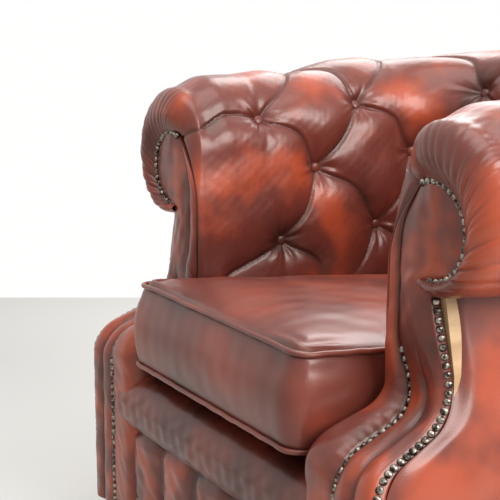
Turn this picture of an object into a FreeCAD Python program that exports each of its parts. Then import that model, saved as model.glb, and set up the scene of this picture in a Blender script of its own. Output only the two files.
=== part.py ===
import FreeCAD, Part
import math
import os
import re
import Sketcher
from FreeCAD import Placement, Rotation, Vector

# Buttoned leather armchair with high rolled sides. Millimetres, +Z up, +X to the sitter's left,
# the front faces -Y. The origin is on the floor, under the middle of the chair.

doc = FreeCAD.newDocument("buttoned_armchair")

# Driving dimensions, one plain number a cell
DRIVING = [
    ("overall_width", 1020, "over the two rolls"),
    ("overall_depth", 908, "front of the seat lip to the back of the rear roll"),
    ("overall_height", 900, "top of the rear roll"),
    ("seat_height", 520, "front top edge of the seat cushion"),
    ("foot_height", 80, "floor to the underside of the rails, glide included"),
    ("roll_radius", 122, "rolled top of the sides and back"),
    ("back_rise", 50, "how far the roll climbs from front to back"),
    ("corner_radius", 80, "inside corner between arm and back"),
    ("pad_depth", 54, "stuffing of the inside arm and back"),
    ("roll_cavity", 75, "space for the frame inside the roll"),
    ("roof_height", 705, "underside of the stuffing over the top rails"),
    ("pad_foot", 300, "lower edge of the inside stuffing"),
    ("end_radius", 88, "roll at its front end, inside the gathers"),
    ("end_centre_out", 106, "centre of the front end, from the inside face"),
    ("end_centre_height", 700, "centre of the front end, from the floor"),
    ("end_gather", 55, "length of the gathered front end"),
    ("tuft_sink", 26, "button below the crown of the leather"),
    ("fold_sink", 12, "fold between two buttons"),
    ("lowest_buttons", 34, "lowest button row above the seat edge"),
    ("middle_buttons", 153, "middle button row above the seat edge"),
    ("first_column", 260, "first button column behind the front"),
    ("button_diameter", 20, "covered button"),
    ("button_height", 7, "covered button"),
    ("border_button_rise", 3.5, "buttons of the front border above their pits"),
    ("nail_diameter", 10.4, "domed nail head"),
    ("nail_height", 3.6, "domed nail head"),
    ("nail_pitch", 12, "nail to nail"),
    ("facing_inner_out", 86, "inner edge of the arm facing beyond the seat's side, low"),
    ("facing_outer_out", 171, "outer edge of the arm facing beyond the seat's side, low"),
    ("facing_neck_out", 37, "inner edge of the arm facing beyond the seat's side, at the neck"),
    ("draw_drop", 120, "arm edges start to draw in, below the seat edge"),
    ("neck_rise", 30, "arm edges are drawn in, above the seat edge"),
    ("facing_thick", 18, "padded facing"),
    ("stump_thick", 30, "shaped front stump"),
    ("neck_setback", 132, "neck of the arm behind its front"),
    ("front_curve", 65, "convex curve of the arm front"),
    ("neck_curve", 75, "hollow curve of the arm front"),
    ("curve_drop", 165, "start of the convex curve below the seat edge"),
    ("front_slope", 25, "rise of the arm between the curves, degrees"),
    ("border_proud", 20, "crown of the arm's front border over the facing, on its slope"),
    ("border_margin", 16, "arm's front border drawn in at the neck"),
    ("scroll_radius", 72, "round head of the facing"),
    ("scroll_beyond", 106, "centre of the head beyond the seat's side"),
    ("scroll_height", 690, "centre of the head from the floor"),
    ("panel_thick", 6, "outside cover on its backing"),
    ("timber", 28, "front rail and seat rails"),
    ("post_width", 50, "posts and top rails"),
    ("post_depth", 57.4, "posts and top rails, out from the stuffing"),
    ("panel_bend", 150, "bend of the outside cover below the seat edge"),
    ("panel_tuck", 44, "outside cover tucked up inside the roll"),
    ("rail_depth", 120, "side and back rails"),
    ("front_rail_top", 300, "top of the front rail"),
    ("cushion_height", 143, "boxing of the seat cushion"),
    ("cushion_crown", 35, "crown of the seat cushion"),
    ("cushion_side_gap", 16, "cushion to inside arm"),
    ("cushion_back_gap", 16, "cushion to inside back"),
    ("cushion_setback", 12, "cushion edge behind the front"),
    ("cushion_tilt", 5, "fall of the seat to the back, degrees"),
    ("cushion_front_corner", 30, "front corners of the cushion"),
    ("cushion_rear_corner", 55, "rear corners of the cushion"),
    ("cover_thick", 6, "cushion cover with its wadding"),
    ("piping_diameter", 8, "cord sewn round the cushion"),
    ("lip_low", 253, "lower edge of the front lip"),
    ("lip_top", 350, "top of the front lip"),
    ("lip_depth", 95, "front lip, front to back"),
    ("lip_proud", 8, "front lip before the facings"),
    ("apron_thick", 25, "stuffed front border below the lip"),
    ("border_buttons", 133, "button row of the front border above the floor"),
    ("border_sink", 14, "pleats of the front border"),
    ("border_columns", 6, "buttons of the front border"),
    ("spring_wire", 3.6, "zigzag spring wire"),
    ("spring_count", 5, "zigzag springs"),
    ("foot_diameter", 74, "turned foot"),
    ("bolt_diameter", 8, "bolt of the foot"),
    ("clearance", 0.3, "between pieces that seat on each other"),
]

# Places worked out on the sheet, because expressions on it use them
SEAT_SIDE = "=overall_width / 2 - 2 * roll_radius + "
DERIVED = [
    ("facing_inner_low", SEAT_SIDE + "facing_inner_out", "inner edge of the arm facing, low"),
    ("facing_outer_low", SEAT_SIDE + "facing_outer_out", "outer edge of the arm facing, low"),
    ("facing_inner_neck", SEAT_SIDE + "facing_neck_out", "inner edge of the arm facing at the neck"),
    ("scroll_out", SEAT_SIDE + "scroll_beyond", "centre of the head from the middle of the chair"),
]

dims = doc.addObject("Spreadsheet::Sheet", "dims")
for row, (alias, number, note) in enumerate(DRIVING + DERIVED, start=1):
    dims.set("A%d" % row, note)
    dims.set("B%d" % row, str(number))
    dims.setAlias("B%d" % row, alias)
doc.recompute()

D = {alias: float(dims.get(alias)) for alias, _, _ in DRIVING + DERIVED}


def on_sheet(text):
    """Expression on the sheet from a line that names its cells."""
    return re.sub(r"[a-z][a-z_]+", lambda word: "dims." + word.group(0), text)


# Places that several pieces share, from the driving dimensions
FRONT = D["lip_proud"] - D["overall_depth"] / 2
SEAT_HALF = D["overall_width"] / 2 - 2 * D["roll_radius"]
BACK_FACE = D["overall_depth"] - D["lip_proud"] - 2 * D["roll_radius"]
CORNER_START = BACK_FACE - D["corner_radius"]
CORNER_X = SEAT_HALF - D["corner_radius"]
ARC_LENGTH = D["corner_radius"] * math.pi / 2
PATH_MIDDLE = CORNER_START + ARC_LENGTH + CORNER_X
ROLL_CENTRE = D["overall_height"] - D["back_rise"] - D["roll_radius"]
GAP = D["clearance"]
TILT = math.radians(D["cushion_tilt"])
COLUMNS_TO_CORNER = 3
COLUMNS_TO_MIDDLE = 6
POST_IN = SEAT_HALF + D["pad_depth"] + GAP
POST_OUT = POST_IN + D["post_depth"]
NECK_OUT = POST_OUT + GAP + D["panel_thick"]
RAIL_OUT = D["facing_outer_low"] - D["panel_thick"] - GAP
FINE = 40
PIECES = []


def keep(piece):
    """Remember a finished sub-part; its Label is the name of its file."""
    PIECES.append(piece)
    return piece


def feature(label, shape):
    """Sub-part whose shape no sketch or primitive gives."""
    piece = doc.addObject("Part::Feature", label)
    piece.Shape = shape
    return keep(piece)


def both_sides(name, shape):
    """A left piece and its mirror image on the right."""
    feature(name + "_left", shape)
    feature(name + "_right", shape.mirror(Vector(0, 0, 0), Vector(1, 0, 0)))


def origin_plane(body, role):
    """Origin plane of a body by its role."""
    return [plane for plane in body.Origin.OriginFeatures if plane.Role == role][0]


def flat_sketch(body, name, role):
    """Sketch on one of the body's own origin planes."""
    sketch = body.newObject("Sketcher::SketchObject", name)
    sketch.AttachmentSupport = (origin_plane(body, role), [""])
    sketch.MapMode = "FlatFace"
    return sketch


def rectangle(sketch, across, along):
    """Rectangle from the sketch's origin, its two sizes bound to the sheet."""
    corners = [Vector(0, 0, 0), Vector(10, 0, 0), Vector(10, 10, 0), Vector(0, 10, 0)]
    for start, end in zip(corners, corners[1:] + corners[:1]):
        sketch.addGeometry(Part.LineSegment(start, end), False)
    for side in range(4):
        sketch.addConstraint(Sketcher.Constraint("Coincident", side, 2, (side + 1) % 4, 1))
        kind = "Horizontal" if side % 2 == 0 else "Vertical"
        sketch.addConstraint(Sketcher.Constraint(kind, side))
    sketch.addConstraint(Sketcher.Constraint("Coincident", 0, 1, -1, 1))
    for name, side, text in (("across", 0, across), ("along", 1, along)):
        kind = "DistanceX" if side == 0 else "DistanceY"
        index = sketch.addConstraint(Sketcher.Constraint(kind, side, 1, side, 2, 10.0))
        sketch.renameConstraint(index, name)
        sketch.setExpression("Constraints." + name, on_sheet(text))


def board(label, corner, size):
    """Squared board: a rectangle padded upward, its corner and sizes bound to the sheet."""
    body = doc.addObject("PartDesign::Body", label)
    sketch = flat_sketch(body, label + "_plan", "XY_Plane")
    rectangle(sketch, size[0], size[1])
    pad = body.newObject("PartDesign::Pad", label + "_height")
    pad.Profile = sketch
    pad.setExpression("Length", on_sheet(size[2]))
    for axis, text in zip("xyz", corner):
        body.setExpression("Placement.Base." + axis, on_sheet(text))
    return keep(body)


def polygon(points):
    """Closed wire of straight lines."""
    return Part.makePolygon(points + points[:1])


def pipe(path, radius):
    """Round bar along a smooth path of lines and arcs."""
    start = path[0]
    heading = start.tangentAt(start.FirstParameter)
    ring = Part.Circle(start.valueAt(start.FirstParameter), heading, radius)
    return Part.Wire(path).makePipeShell([Part.Wire(ring.toShape())], True, False)


# The inside of the chair is one long buttoned surface. A place on it is a distance along the
# seat, from the front of one arm round to the back, and a distance up the face and over the roll.

def seat_frame(along):
    """Point on the inside face and the way out of the seat, for a distance along it."""
    if along <= CORNER_START:
        return Vector(SEAT_HALF, FRONT + along, 0), Vector(1, 0, 0)
    turn = min((along - CORNER_START) / D["corner_radius"], math.pi / 2)
    out = Vector(math.cos(turn), math.sin(turn), 0)
    point = Vector(CORNER_X, FRONT + CORNER_START, 0) + out * D["corner_radius"]
    past = max(0.0, along - CORNER_START - ARC_LENGTH)
    return point - Vector(past, 0, 0), out


def column_at(along):
    """Button column for a distance along the seat; whole numbers are columns."""
    if along <= CORNER_START:
        first = D["first_column"]
        return (along - first) / (CORNER_START - first) * COLUMNS_TO_CORNER
    rear = (PATH_MIDDLE - CORNER_START) / (COLUMNS_TO_MIDDLE - COLUMNS_TO_CORNER)
    return COLUMNS_TO_CORNER + (along - CORNER_START) / rear


def along_at(column):
    """Distance along the seat of a button column."""
    if column <= COLUMNS_TO_CORNER:
        first = D["first_column"]
        return first + column * (CORNER_START - first) / COLUMNS_TO_CORNER
    rear = (PATH_MIDDLE - CORNER_START) / (COLUMNS_TO_MIDDLE - COLUMNS_TO_CORNER)
    return CORNER_START + (column - COLUMNS_TO_CORNER) * rear


def row_height(row):
    """Distance up the face of a button row; rows 0 to 3 hold buttons."""
    turns = [26, 97, 180, 232]
    marks = [(-1, D["seat_height"] - 80),
             (0, D["seat_height"] + D["lowest_buttons"]),
             (1, D["seat_height"] + D["middle_buttons"])]
    for step, turn in enumerate(turns):
        marks.append((2 + step, ROLL_CENTRE + D["roll_radius"] * math.radians(turn)))
    for (low, start), (high, end) in zip(marks, marks[1:]):
        if row <= high:
            return start + (end - start) * (row - low) / (high - low)
    return marks[-1][1]


def sink(column, row):
    """How far the leather lies under its crown at a place of the button pattern."""
    if row < 0:
        return D["fold_sink"] * math.cos(math.pi * column / 2) ** 4 * max(0.0, 1 + row)
    if row > 3:
        return D["fold_sink"] * math.sin(math.pi * column / 2) ** 4 * max(0.0, (5 - row) / 2)
    one = math.sin(math.pi * (column + row) / 2)
    other = math.sin(math.pi * (column - row) / 2)
    if abs(one) < 0.01 and abs(other) < 0.01:
        depth = D["tuft_sink"]
    else:
        depth = D["fold_sink"] * (1 - math.sqrt(abs(one * other)))
    return depth * min(1.0, max(0.0, 1 + column / 0.6))


def roll_at(along):
    """Radius, centre from the inside face and centre height of the roll."""
    ease = min(1.0, max(0.0, (along - D["neck_setback"] - D["facing_thick"]) / D["end_gather"]))
    ease = math.sin(ease * math.pi / 2)
    climb = max(0.0, along - D["first_column"]) / (PATH_MIDDLE - D["first_column"])
    radius = D["end_radius"] + (D["roll_radius"] - D["end_radius"]) * ease
    out = D["end_centre_out"] + (D["roll_radius"] - D["end_centre_out"]) * ease
    height = D["end_centre_height"] + (ROLL_CENTRE - D["end_centre_height"]) * ease
    return radius, out, height + D["back_rise"] * climb


def face_point(along, row, under=0.0):
    """Place of the leather and its outward normal, some way under the crown."""
    radius, out, height = roll_at(along)
    point, away = seat_frame(along)
    up = row_height(row)
    if up <= ROLL_CENTRE:
        share = (up - D["pad_foot"]) / (ROLL_CENTRE - D["pad_foot"])
        across, level = out - radius, D["pad_foot"] + share * (height - D["pad_foot"])
        normal = away * -1
    else:
        turn = (up - ROLL_CENTRE) / D["roll_radius"]
        across, level = out - radius * math.cos(turn), height + radius * math.sin(turn)
        normal = away * -math.cos(turn) + Vector(0, 0, math.sin(turn))
    place = point + away * across + Vector(0, 0, level)
    return place - normal * under, normal


ROWS = [-1 + 0.5 * step for step in range(13)]


def inside_section(along):
    """Closed section through the stuffing, square to the seat, at a distance along it."""
    point, away = seat_frame(along)
    radius, out, height = roll_at(along)
    column = column_at(along)
    outer = [face_point(along, row, sink(column, row))[0] for row in ROWS]
    cavity_in = D["pad_depth"]
    cavity_out = cavity_in + D["roll_cavity"]
    drop = math.sqrt(radius ** 2 - (cavity_out - out) ** 2)
    rest = [(cavity_out, height - drop), (cavity_out, D["roof_height"]),
            (cavity_in, D["roof_height"]), (cavity_in, D["pad_foot"]),
            (out - radius, D["pad_foot"])]
    return polygon(outer + [point + away * across + Vector(0, 0, level) for across, level in rest])


def stuffing(stations):
    """Buttoned stuffing between stations along the seat."""
    return Part.makeLoft([inside_section(along) for along in stations], True, True)


def columns(first, last, step):
    """Stations from one button column to another."""
    count = round((last - first) / step)
    return [along_at(first + step * index) for index in range(count + 1)]


pad_front = D["neck_setback"] + D["facing_thick"] + GAP
gather = [pad_front, pad_front + D["end_gather"] * 0.3, pad_front + D["end_gather"]]
both_sides("inside_arm", stuffing(gather + columns(0, 3, 0.5)))
both_sides("inside_corner", stuffing(columns(3, 4, 0.25)))
corner_end = CORNER_START + ARC_LENGTH
half_back = [along_at(4), corner_end] + columns(4.5, 6, 0.5)
half_sections = [inside_section(along) for along in half_back]
mirrored = [wire.mirror(Vector(0, 0, 0), Vector(1, 0, 0)) for wire in reversed(half_sections[:-1])]
feature("inside_back", Part.makeLoft(half_sections + mirrored, True, True))


def dome(diameter, height, place, normal):
    """Low dome with a flat back, seated on a place and standing along a normal."""
    radius = (diameter ** 2 / 4 + height ** 2) / (2 * height)
    ball = Part.makeSphere(radius, Vector(0, 0, height - radius))
    block = Part.makeBox(4 * radius, 4 * radius, height + 1, Vector(-2 * radius, -2 * radius, 0))
    cap = ball.common(block)
    cap.Placement = Placement(place, Rotation(Vector(0, 0, 1), normal))
    return cap


def button_rest(column, row):
    """Place and normal of a button that just clears the leather round its pit."""
    pit, normal = face_point(along_at(column), row, D["tuft_sink"])
    before = 0.25 if 3 < column <= 4 else 0.5
    after = 0.25 if 3 <= column < 4 else 0.5
    if column == 4:
        after = column_at(CORNER_START + ARC_LENGTH) - column
    ways = [-before, after] if column < COLUMNS_TO_MIDDLE else [-before]
    rise = 0.0
    for way in ways:
        for up in (-0.5, 0.5):
            near = [face_point(along_at(column + side), row + step,
                               sink(column + side, row + step))[0] - pit
                    for side, step in ((way, 0), (0, up), (way, up))]
            for one in range(FINE + 1):
                for two in range(FINE + 1):
                    u, v = one / FINE, two / FINE
                    spot = near[0] * (u * (1 - v)) + near[1] * (v * (1 - u)) + near[2] * (u * v)
                    height = spot.dot(normal)
                    if (spot - normal * height).Length < D["button_diameter"] / 2:
                        rise = max(rise, height)
    return pit + normal * (rise + GAP), normal


def inside_buttons():
    """Covered buttons of the arms, corners and back, each in the pit of its tuft."""
    buttons = []
    for column in range(COLUMNS_TO_MIDDLE + 1):
        for row in range(4):
            if (column + row) % 2:
                continue
            place, normal = button_rest(column, row)
            button = dome(D["button_diameter"], D["button_height"], place, normal)
            buttons.append(button)
            if column < COLUMNS_TO_MIDDLE:
                buttons.append(button.mirror(Vector(0, 0, 0), Vector(1, 0, 0)))
    return Part.makeCompound(buttons)


feature("inside_buttons", inside_buttons())


# Front of the arm: a straight front, a convex curve, a short slope and a hollow curve up to the neck

def arm_front():
    """Stations up the arm front: place behind the front, height and the way forward."""
    slope = math.radians(D["front_slope"])
    low = D["seat_height"] - D["curve_drop"]
    stations = [(0.0, D["foot_height"], math.pi), (0.0, D["lip_top"] + GAP, math.pi)]
    convex, hollow = D["front_curve"], D["neck_curve"]
    steps = 4
    for step in range(steps + 1):
        turn = math.pi - (math.pi / 2 - slope) * step / steps
        stations.append((convex * (1 + math.cos(turn)), low + convex * math.sin(turn), turn))
    back, height, turn = stations[-1]
    run = D["neck_setback"] - (convex + hollow) * (1 - math.sin(slope))
    back, height = back + run, height + run * math.tan(slope)
    middle = (back - hollow * math.sin(slope), height + hollow * math.cos(slope))
    for step in range(steps + 1):
        turn = math.pi / 2 + slope + (math.pi / 2 - slope) * step / steps
        stations.append((middle[0] - hollow * math.cos(turn),
                         middle[1] - hollow * math.sin(turn), turn))
    neck = ROLL_CENTRE - D["roll_radius"]
    head_foot = D["scroll_height"] - 0.7 * D["scroll_radius"]
    for height in (D["seat_height"] + D["neck_rise"], neck, head_foot):
        stations.append((D["neck_setback"], height, math.pi))
    return stations


def edge(height, low, neck):
    """Side place of an edge of the arm front, which draws in from low down to the neck."""
    start, end = D["seat_height"] - D["draw_drop"], D["seat_height"] + D["neck_rise"]
    share = min(1.0, max(0.0, (height - start) / (end - start)))
    return low + (neck - low) * share


def cover_edge(height, reduce=0.0):
    """Outer face of the outside cover at a height, or a face inside it."""
    bend = D["seat_height"] - D["panel_bend"]
    neck = ROLL_CENTRE - D["roll_radius"]
    share = min(1.0, max(0.0, (height - bend) / (neck - bend)))
    return D["facing_outer_low"] + (NECK_OUT - D["facing_outer_low"]) * share - reduce


def arm_strip(stations, inner, outer, proud, behind, crown=None):
    """Strip up the arm front between two edges, with a crowned face where crown is set."""
    wires = []
    for back, height, turn in stations:
        forward = Vector(0, math.cos(turn), math.sin(turn))
        base = Vector(0, FRONT + back, height)
        left, right = Vector(inner(height), 0, 0), Vector(outer(height), 0, 0)
        corners = [base + left + forward * proud, base + right + forward * proud,
                   base + right - forward * behind, base + left - forward * behind]
        edges = [Part.makeLine(one, two) for one, two in zip(corners[1:], corners[2:] + corners[:1])]
        if crown:
            top = base + (left + right) * 0.5 + forward * (proud + crown(height))
            edges.insert(0, Part.Arc(corners[0], top, corners[1]).toShape())
        else:
            edges.insert(0, Part.makeLine(corners[0], corners[1]))
        wires.append(Part.Wire(edges))
    return Part.makeLoft(wires, True, True)


def scroll_head(radius, thick, back):
    """Round head of the arm front, facing forward."""
    centre = Vector(D["scroll_out"], FRONT + back, D["scroll_height"])
    return Part.makeCylinder(radius, thick, centre, Vector(0, 1, 0))


front_line = arm_front()


def facing_edge(height, reduce=0.0):
    """Inner edge of the facing at a height, or a line inside it."""
    return edge(height, D["facing_inner_low"], D["facing_inner_neck"]) - reduce


facing = arm_strip(front_line, facing_edge, cover_edge, 0, D["facing_thick"])
head = scroll_head(D["scroll_radius"], D["facing_thick"], D["neck_setback"])
both_sides("arm_facing", facing.fuse(head).removeSplitter().Solids[0])

stump_line = front_line[:-1] + [(D["neck_setback"], D["roof_height"] - GAP, math.pi)]
stump = arm_strip(stump_line, lambda height: edge(height, D["facing_inner_low"], POST_IN),
                  lambda height: cover_edge(height, D["panel_thick"] + 2 * GAP),
                  -D["facing_thick"], D["facing_thick"] + D["stump_thick"])
both_sides("arm_stump", stump)


def border_crown(height):
    """Crown of the arm's front border: low where the front is upright, full on its slope."""
    start = D["seat_height"] - D["curve_drop"]
    share = min(1.0, max(0.0, (height - start) / D["front_curve"]))
    return D["lip_proud"] + (D["border_proud"] - D["lip_proud"]) * share


border_line = front_line[1:-1] + [(D["neck_setback"], D["scroll_height"] - 26, math.pi)]
border = arm_strip(border_line,
                   lambda height: edge(height, SEAT_HALF, SEAT_HALF + D["border_margin"]),
                   lambda height: facing_edge(height, GAP), 0, D["facing_thick"], border_crown)
both_sides("arm_border", border)


# Timber frame, in expressions on the sheet
BASE = "foot_height"
POST_AT = "overall_width / 2 - 2 * roll_radius + pad_depth + clearance"
RAIL_AT = POST_AT + " + post_depth"
RAIL_WIDE = "facing_outer_low - panel_thick - clearance - (%s)" % RAIL_AT
FRONT_AT = "lip_proud - overall_depth / 2"
STUMP_BACK = "facing_thick + stump_thick"
STRAIGHT_END = "overall_depth / 2 - 2 * roll_radius - corner_radius"
STRAIGHT_SIDE = "overall_width / 2 - 2 * roll_radius - corner_radius"
POST_BACK = "overall_depth / 2 - 2 * roll_radius + pad_depth + clearance"
POST_TOP = "roof_height - post_width - clearance"
FRONT_HALF = "facing_inner_low - clearance"
RAIL_FRONT = FRONT_AT + " + apron_thick + clearance"

board("front_rail", ("-(%s)" % FRONT_HALF, RAIL_FRONT, BASE),
      ("2 * (%s)" % FRONT_HALF, "timber", "front_rail_top - foot_height"))


def across(side, inner, width):
    """Low corner of a board on one side that starts at inner and is width wide."""
    return inner if side == "left" else "-(%s) - (%s)" % (inner, width)


for side in ("left", "right"):
    board("side_rail_" + side,
          (across(side, RAIL_AT, RAIL_WIDE), FRONT_AT + " + " + STUMP_BACK, BASE),
          (RAIL_WIDE, "%s - (%s) - (%s)" % (STRAIGHT_END, FRONT_AT, STUMP_BACK), "rail_depth"))
    board("arm_post_" + side,
          (across(side, POST_AT, "post_depth"), STRAIGHT_END + " - post_width", BASE),
          ("post_depth", "post_width", POST_TOP + " - foot_height"))
    board("arm_top_rail_" + side,
          (across(side, POST_AT, "post_depth"), FRONT_AT + " + neck_setback + " + STUMP_BACK, POST_TOP),
          ("post_depth", "%s - (%s) - neck_setback - (%s)" % (STRAIGHT_END, FRONT_AT, STUMP_BACK),
           "post_width"))
    board("back_post_" + side,
          (across(side, STRAIGHT_SIDE + " - post_width", "post_width"), POST_BACK, BASE),
          ("post_width", "post_depth", POST_TOP + " - foot_height"))
board("back_rail", ("-(%s)" % STRAIGHT_SIDE, POST_BACK + " + post_depth", BASE),
      ("2 * (%s)" % STRAIGHT_SIDE, RAIL_WIDE, "rail_depth"))
board("back_top_rail", ("-(%s)" % STRAIGHT_SIDE, POST_BACK, POST_TOP),
      ("2 * (%s)" % STRAIGHT_SIDE, "post_depth", "post_width"))
board("seat_brace", ("-post_width / 2", RAIL_FRONT + " + timber", "foot_height + post_width"),
      ("post_width", "%s + post_depth - (%s) - timber" % (POST_BACK, RAIL_FRONT), "post_width / 2"))


def corner_sweep(section):
    """Section turned round the rear corner; its points are distances out and heights."""
    wire = polygon([Vector(SEAT_HALF + out, FRONT + CORNER_START, height)
                    for out, height in section])
    axis = Vector(CORNER_X, FRONT + CORNER_START, 0)
    return Part.Face(wire).revolve(axis, Vector(0, 0, 1), 90)


def block_section(low_out, high_out, bottom, top):
    """Squared section between two distances out and two heights."""
    return [(low_out, bottom), (high_out, bottom), (high_out, top), (low_out, top)]


rail_in, rail_out = POST_OUT - SEAT_HALF, RAIL_OUT - SEAT_HALF
post_in, post_out = POST_IN - SEAT_HALF, POST_OUT - SEAT_HALF
top_low = D["roof_height"] - GAP - D["post_width"]
floor_line = D["foot_height"]
rear_foot_reach = (D["corner_radius"] + (rail_in + rail_out) / 2) * math.sqrt(0.5)
FEET = [("front_foot_left", (POST_OUT + RAIL_OUT) / 2, FRONT + 95),
        ("front_foot_right", -(POST_OUT + RAIL_OUT) / 2, FRONT + 95),
        ("rear_foot_left", CORNER_X + rear_foot_reach, FRONT + CORNER_START + rear_foot_reach),
        ("rear_foot_right", -CORNER_X - rear_foot_reach, FRONT + CORNER_START + rear_foot_reach)]
BOLT_REACH = 40


def bolt_hole(x_place, y_place):
    """Bore for a foot bolt, up into the rail."""
    radius = D["bolt_diameter"] / 2 + GAP
    return Part.makeCylinder(radius, BOLT_REACH + 1 + GAP, Vector(x_place, y_place, floor_line - 1))


rear_rail = corner_sweep(block_section(rail_in, rail_out, floor_line, floor_line + D["rail_depth"]))
rear_rail = rear_rail.cut(bolt_hole(FEET[2][1], FEET[2][2]))
both_sides("rear_corner_rail", rear_rail)
both_sides("top_corner_rail", corner_sweep(block_section(post_in, post_out, top_low,
                                                         D["roof_height"] - GAP)))


def corner_blocks():
    """Glued triangular blocks in the front corners and at the arm posts."""
    leg = D["post_width"] + 10
    blocks = []
    places = [(FRONT + D["apron_thick"] + GAP + D["timber"], 1),
              (FRONT + CORNER_START - D["post_width"], -1)]
    for start, way in places:
        corner = Vector(POST_OUT, start, floor_line)
        wire = polygon([corner, corner + Vector(0, way * leg, 0), corner + Vector(-leg, 0, 0)])
        block = Part.Face(wire).extrude(Vector(0, 0, D["rail_depth"] * 0.8))
        blocks += [block, block.mirror(Vector(0, 0, 0), Vector(1, 0, 0))]
    return Part.makeCompound(blocks)


feature("corner_blocks", corner_blocks())


# Outside covers on their backing: upright below, leaning in to the neck, tucked up into the roll

def cover_section():
    """Section of an outside cover, as distances out from the inside face and heights."""
    bend = D["seat_height"] - D["panel_bend"]
    neck = ROLL_CENTRE - D["roll_radius"]
    outer = [(cover_edge(height) - SEAT_HALF, height)
             for height in (floor_line, bend, neck, neck + D["panel_tuck"])]
    inner = [(out - D["panel_thick"], height) for out, height in reversed(outer)]
    return outer + inner


def behind_facing():
    """Space behind the arm facing, as wide as the whole side."""
    reach = D["facing_thick"] + GAP
    line = [Vector(0, FRONT + back - reach * math.cos(turn), height - reach * math.sin(turn))
            for back, height, turn in front_line]
    line[-1].z = D["roof_height"]
    end = FRONT + CORNER_START
    wire = polygon(line + [Vector(0, end, D["roof_height"]), Vector(0, end, floor_line)])
    return Part.Face(wire).extrude(Vector(D["overall_width"] / 2, 0, 0))


arm_cover = Part.Face(polygon([Vector(SEAT_HALF + out, FRONT, height)
                               for out, height in cover_section()]))
both_sides("outside_arm", arm_cover.extrude(Vector(0, CORNER_START, 0)).common(behind_facing()))
both_sides("outside_corner", corner_sweep(cover_section()))
back_cover = Part.Face(polygon([Vector(-CORNER_X, FRONT + BACK_FACE + out, height)
                                for out, height in cover_section()]))
feature("outside_back", back_cover.extrude(Vector(2 * CORNER_X, 0, 0)))


# Front of the seat: a stuffed lip over the rail, and a pleated border with one row of buttons
front_half = D["facing_inner_low"] - GAP


def lip_section(place, shrink):
    """Section of the front lip at a place across the seat, smaller by shrink."""
    def spot(back, height):
        """Point of the section from its place behind the front and its height."""
        return Vector(place, FRONT + back, height)

    proud, low, top = D["lip_proud"] - shrink, D["lip_low"], D["lip_top"] - shrink
    under = D["front_rail_top"] + 12
    nose = low + (top - low) * 0.65
    edges = [Part.makeLine(spot(D["apron_thick"], low), spot(shrink, low)),
             Part.Arc(spot(shrink, low), spot(-proud, (low + nose) / 2), spot(1, nose)).toShape(),
             Part.Arc(spot(1, nose), spot(16, top - 8), spot(50, top)).toShape(),
             Part.makeLine(spot(50, top), spot(D["lip_depth"], top - 8)),
             Part.makeLine(spot(D["lip_depth"], top - 8), spot(D["lip_depth"], under)),
             Part.makeLine(spot(D["lip_depth"], under), spot(D["apron_thick"], under)),
             Part.makeLine(spot(D["apron_thick"], under), spot(D["apron_thick"], low))]
    return Part.Wire(edges)


lip_stations = ((-front_half, 6), (20 - front_half, 0), (front_half - 20, 0), (front_half, 6))
feature("front_lip", Part.makeLoft([lip_section(place, shrink) for place, shrink in lip_stations],
                                   True, True))


def pleat(place, height):
    """How far the front border lies back at a place of its pleats and buttons."""
    pitch = 2 * front_half / D["border_columns"]
    share = ((place + front_half) / pitch - 0.5) * math.pi
    valley = abs(math.cos(share)) ** 2.5
    near = max(0.0, 1 - abs(height - D["border_buttons"]) / 40)
    return D["border_sink"] * valley * (0.6 + 0.4 * near) + 3


def border_section(place):
    """Section of the front border at a place across the seat."""
    top = D["lip_low"] - GAP
    heights = [floor_line, floor_line + 26, D["border_buttons"] - 14, D["border_buttons"],
               D["border_buttons"] + 14, D["border_buttons"] + 50, top - 30, top]
    face = [Vector(place, FRONT + pleat(place, height), height) for height in heights]
    back = [Vector(place, FRONT + D["apron_thick"], height) for height in (top, floor_line)]
    return polygon(face + back)


steps = int(D["border_columns"]) * 4
places = [-front_half + 2 * front_half * step / steps for step in range(steps + 1)]
feature("front_border", Part.makeLoft([border_section(place) for place in places], True, True))


def border_button_row():
    """Covered buttons of the front border."""
    row = []
    for index in range(int(D["border_columns"])):
        place = -front_half + 2 * front_half * (index + 0.5) / D["border_columns"]
        depth = pleat(place, D["border_buttons"]) - D["border_button_rise"]
        spot = Vector(place, FRONT + depth, D["border_buttons"])
        row.append(dome(D["button_diameter"], D["button_height"], spot, Vector(0, -1, 0)))
    return Part.makeCompound(row)


feature("front_buttons", border_button_row())


# Springing: zigzag wires from the front rail to a rail before the back posts, all falling to the back
SPRING_ORIGIN = Vector(0, FRONT + D["apron_thick"] + GAP + D["timber"],
                       D["front_rail_top"] + GAP + D["spring_wire"] / 2)
SEAT_TURN = Rotation(Vector(1, 0, 0), -D["cushion_tilt"])
rear_rail_back = FRONT + BACK_FACE + D["pad_depth"] + GAP
spring_end = (rear_rail_back - 12 - SPRING_ORIGIN.y) / math.cos(TILT)
rear_rail_top = SPRING_ORIGIN.z - spring_end * math.sin(TILT) - D["spring_wire"] / 2 - GAP
rear_seat_rail = Part.makeBox(2 * SEAT_HALF, D["timber"], 45,
                              Vector(-SEAT_HALF, rear_rail_back - D["timber"], rear_rail_top - 45))
feature("seat_back_rail", rear_seat_rail)


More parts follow.
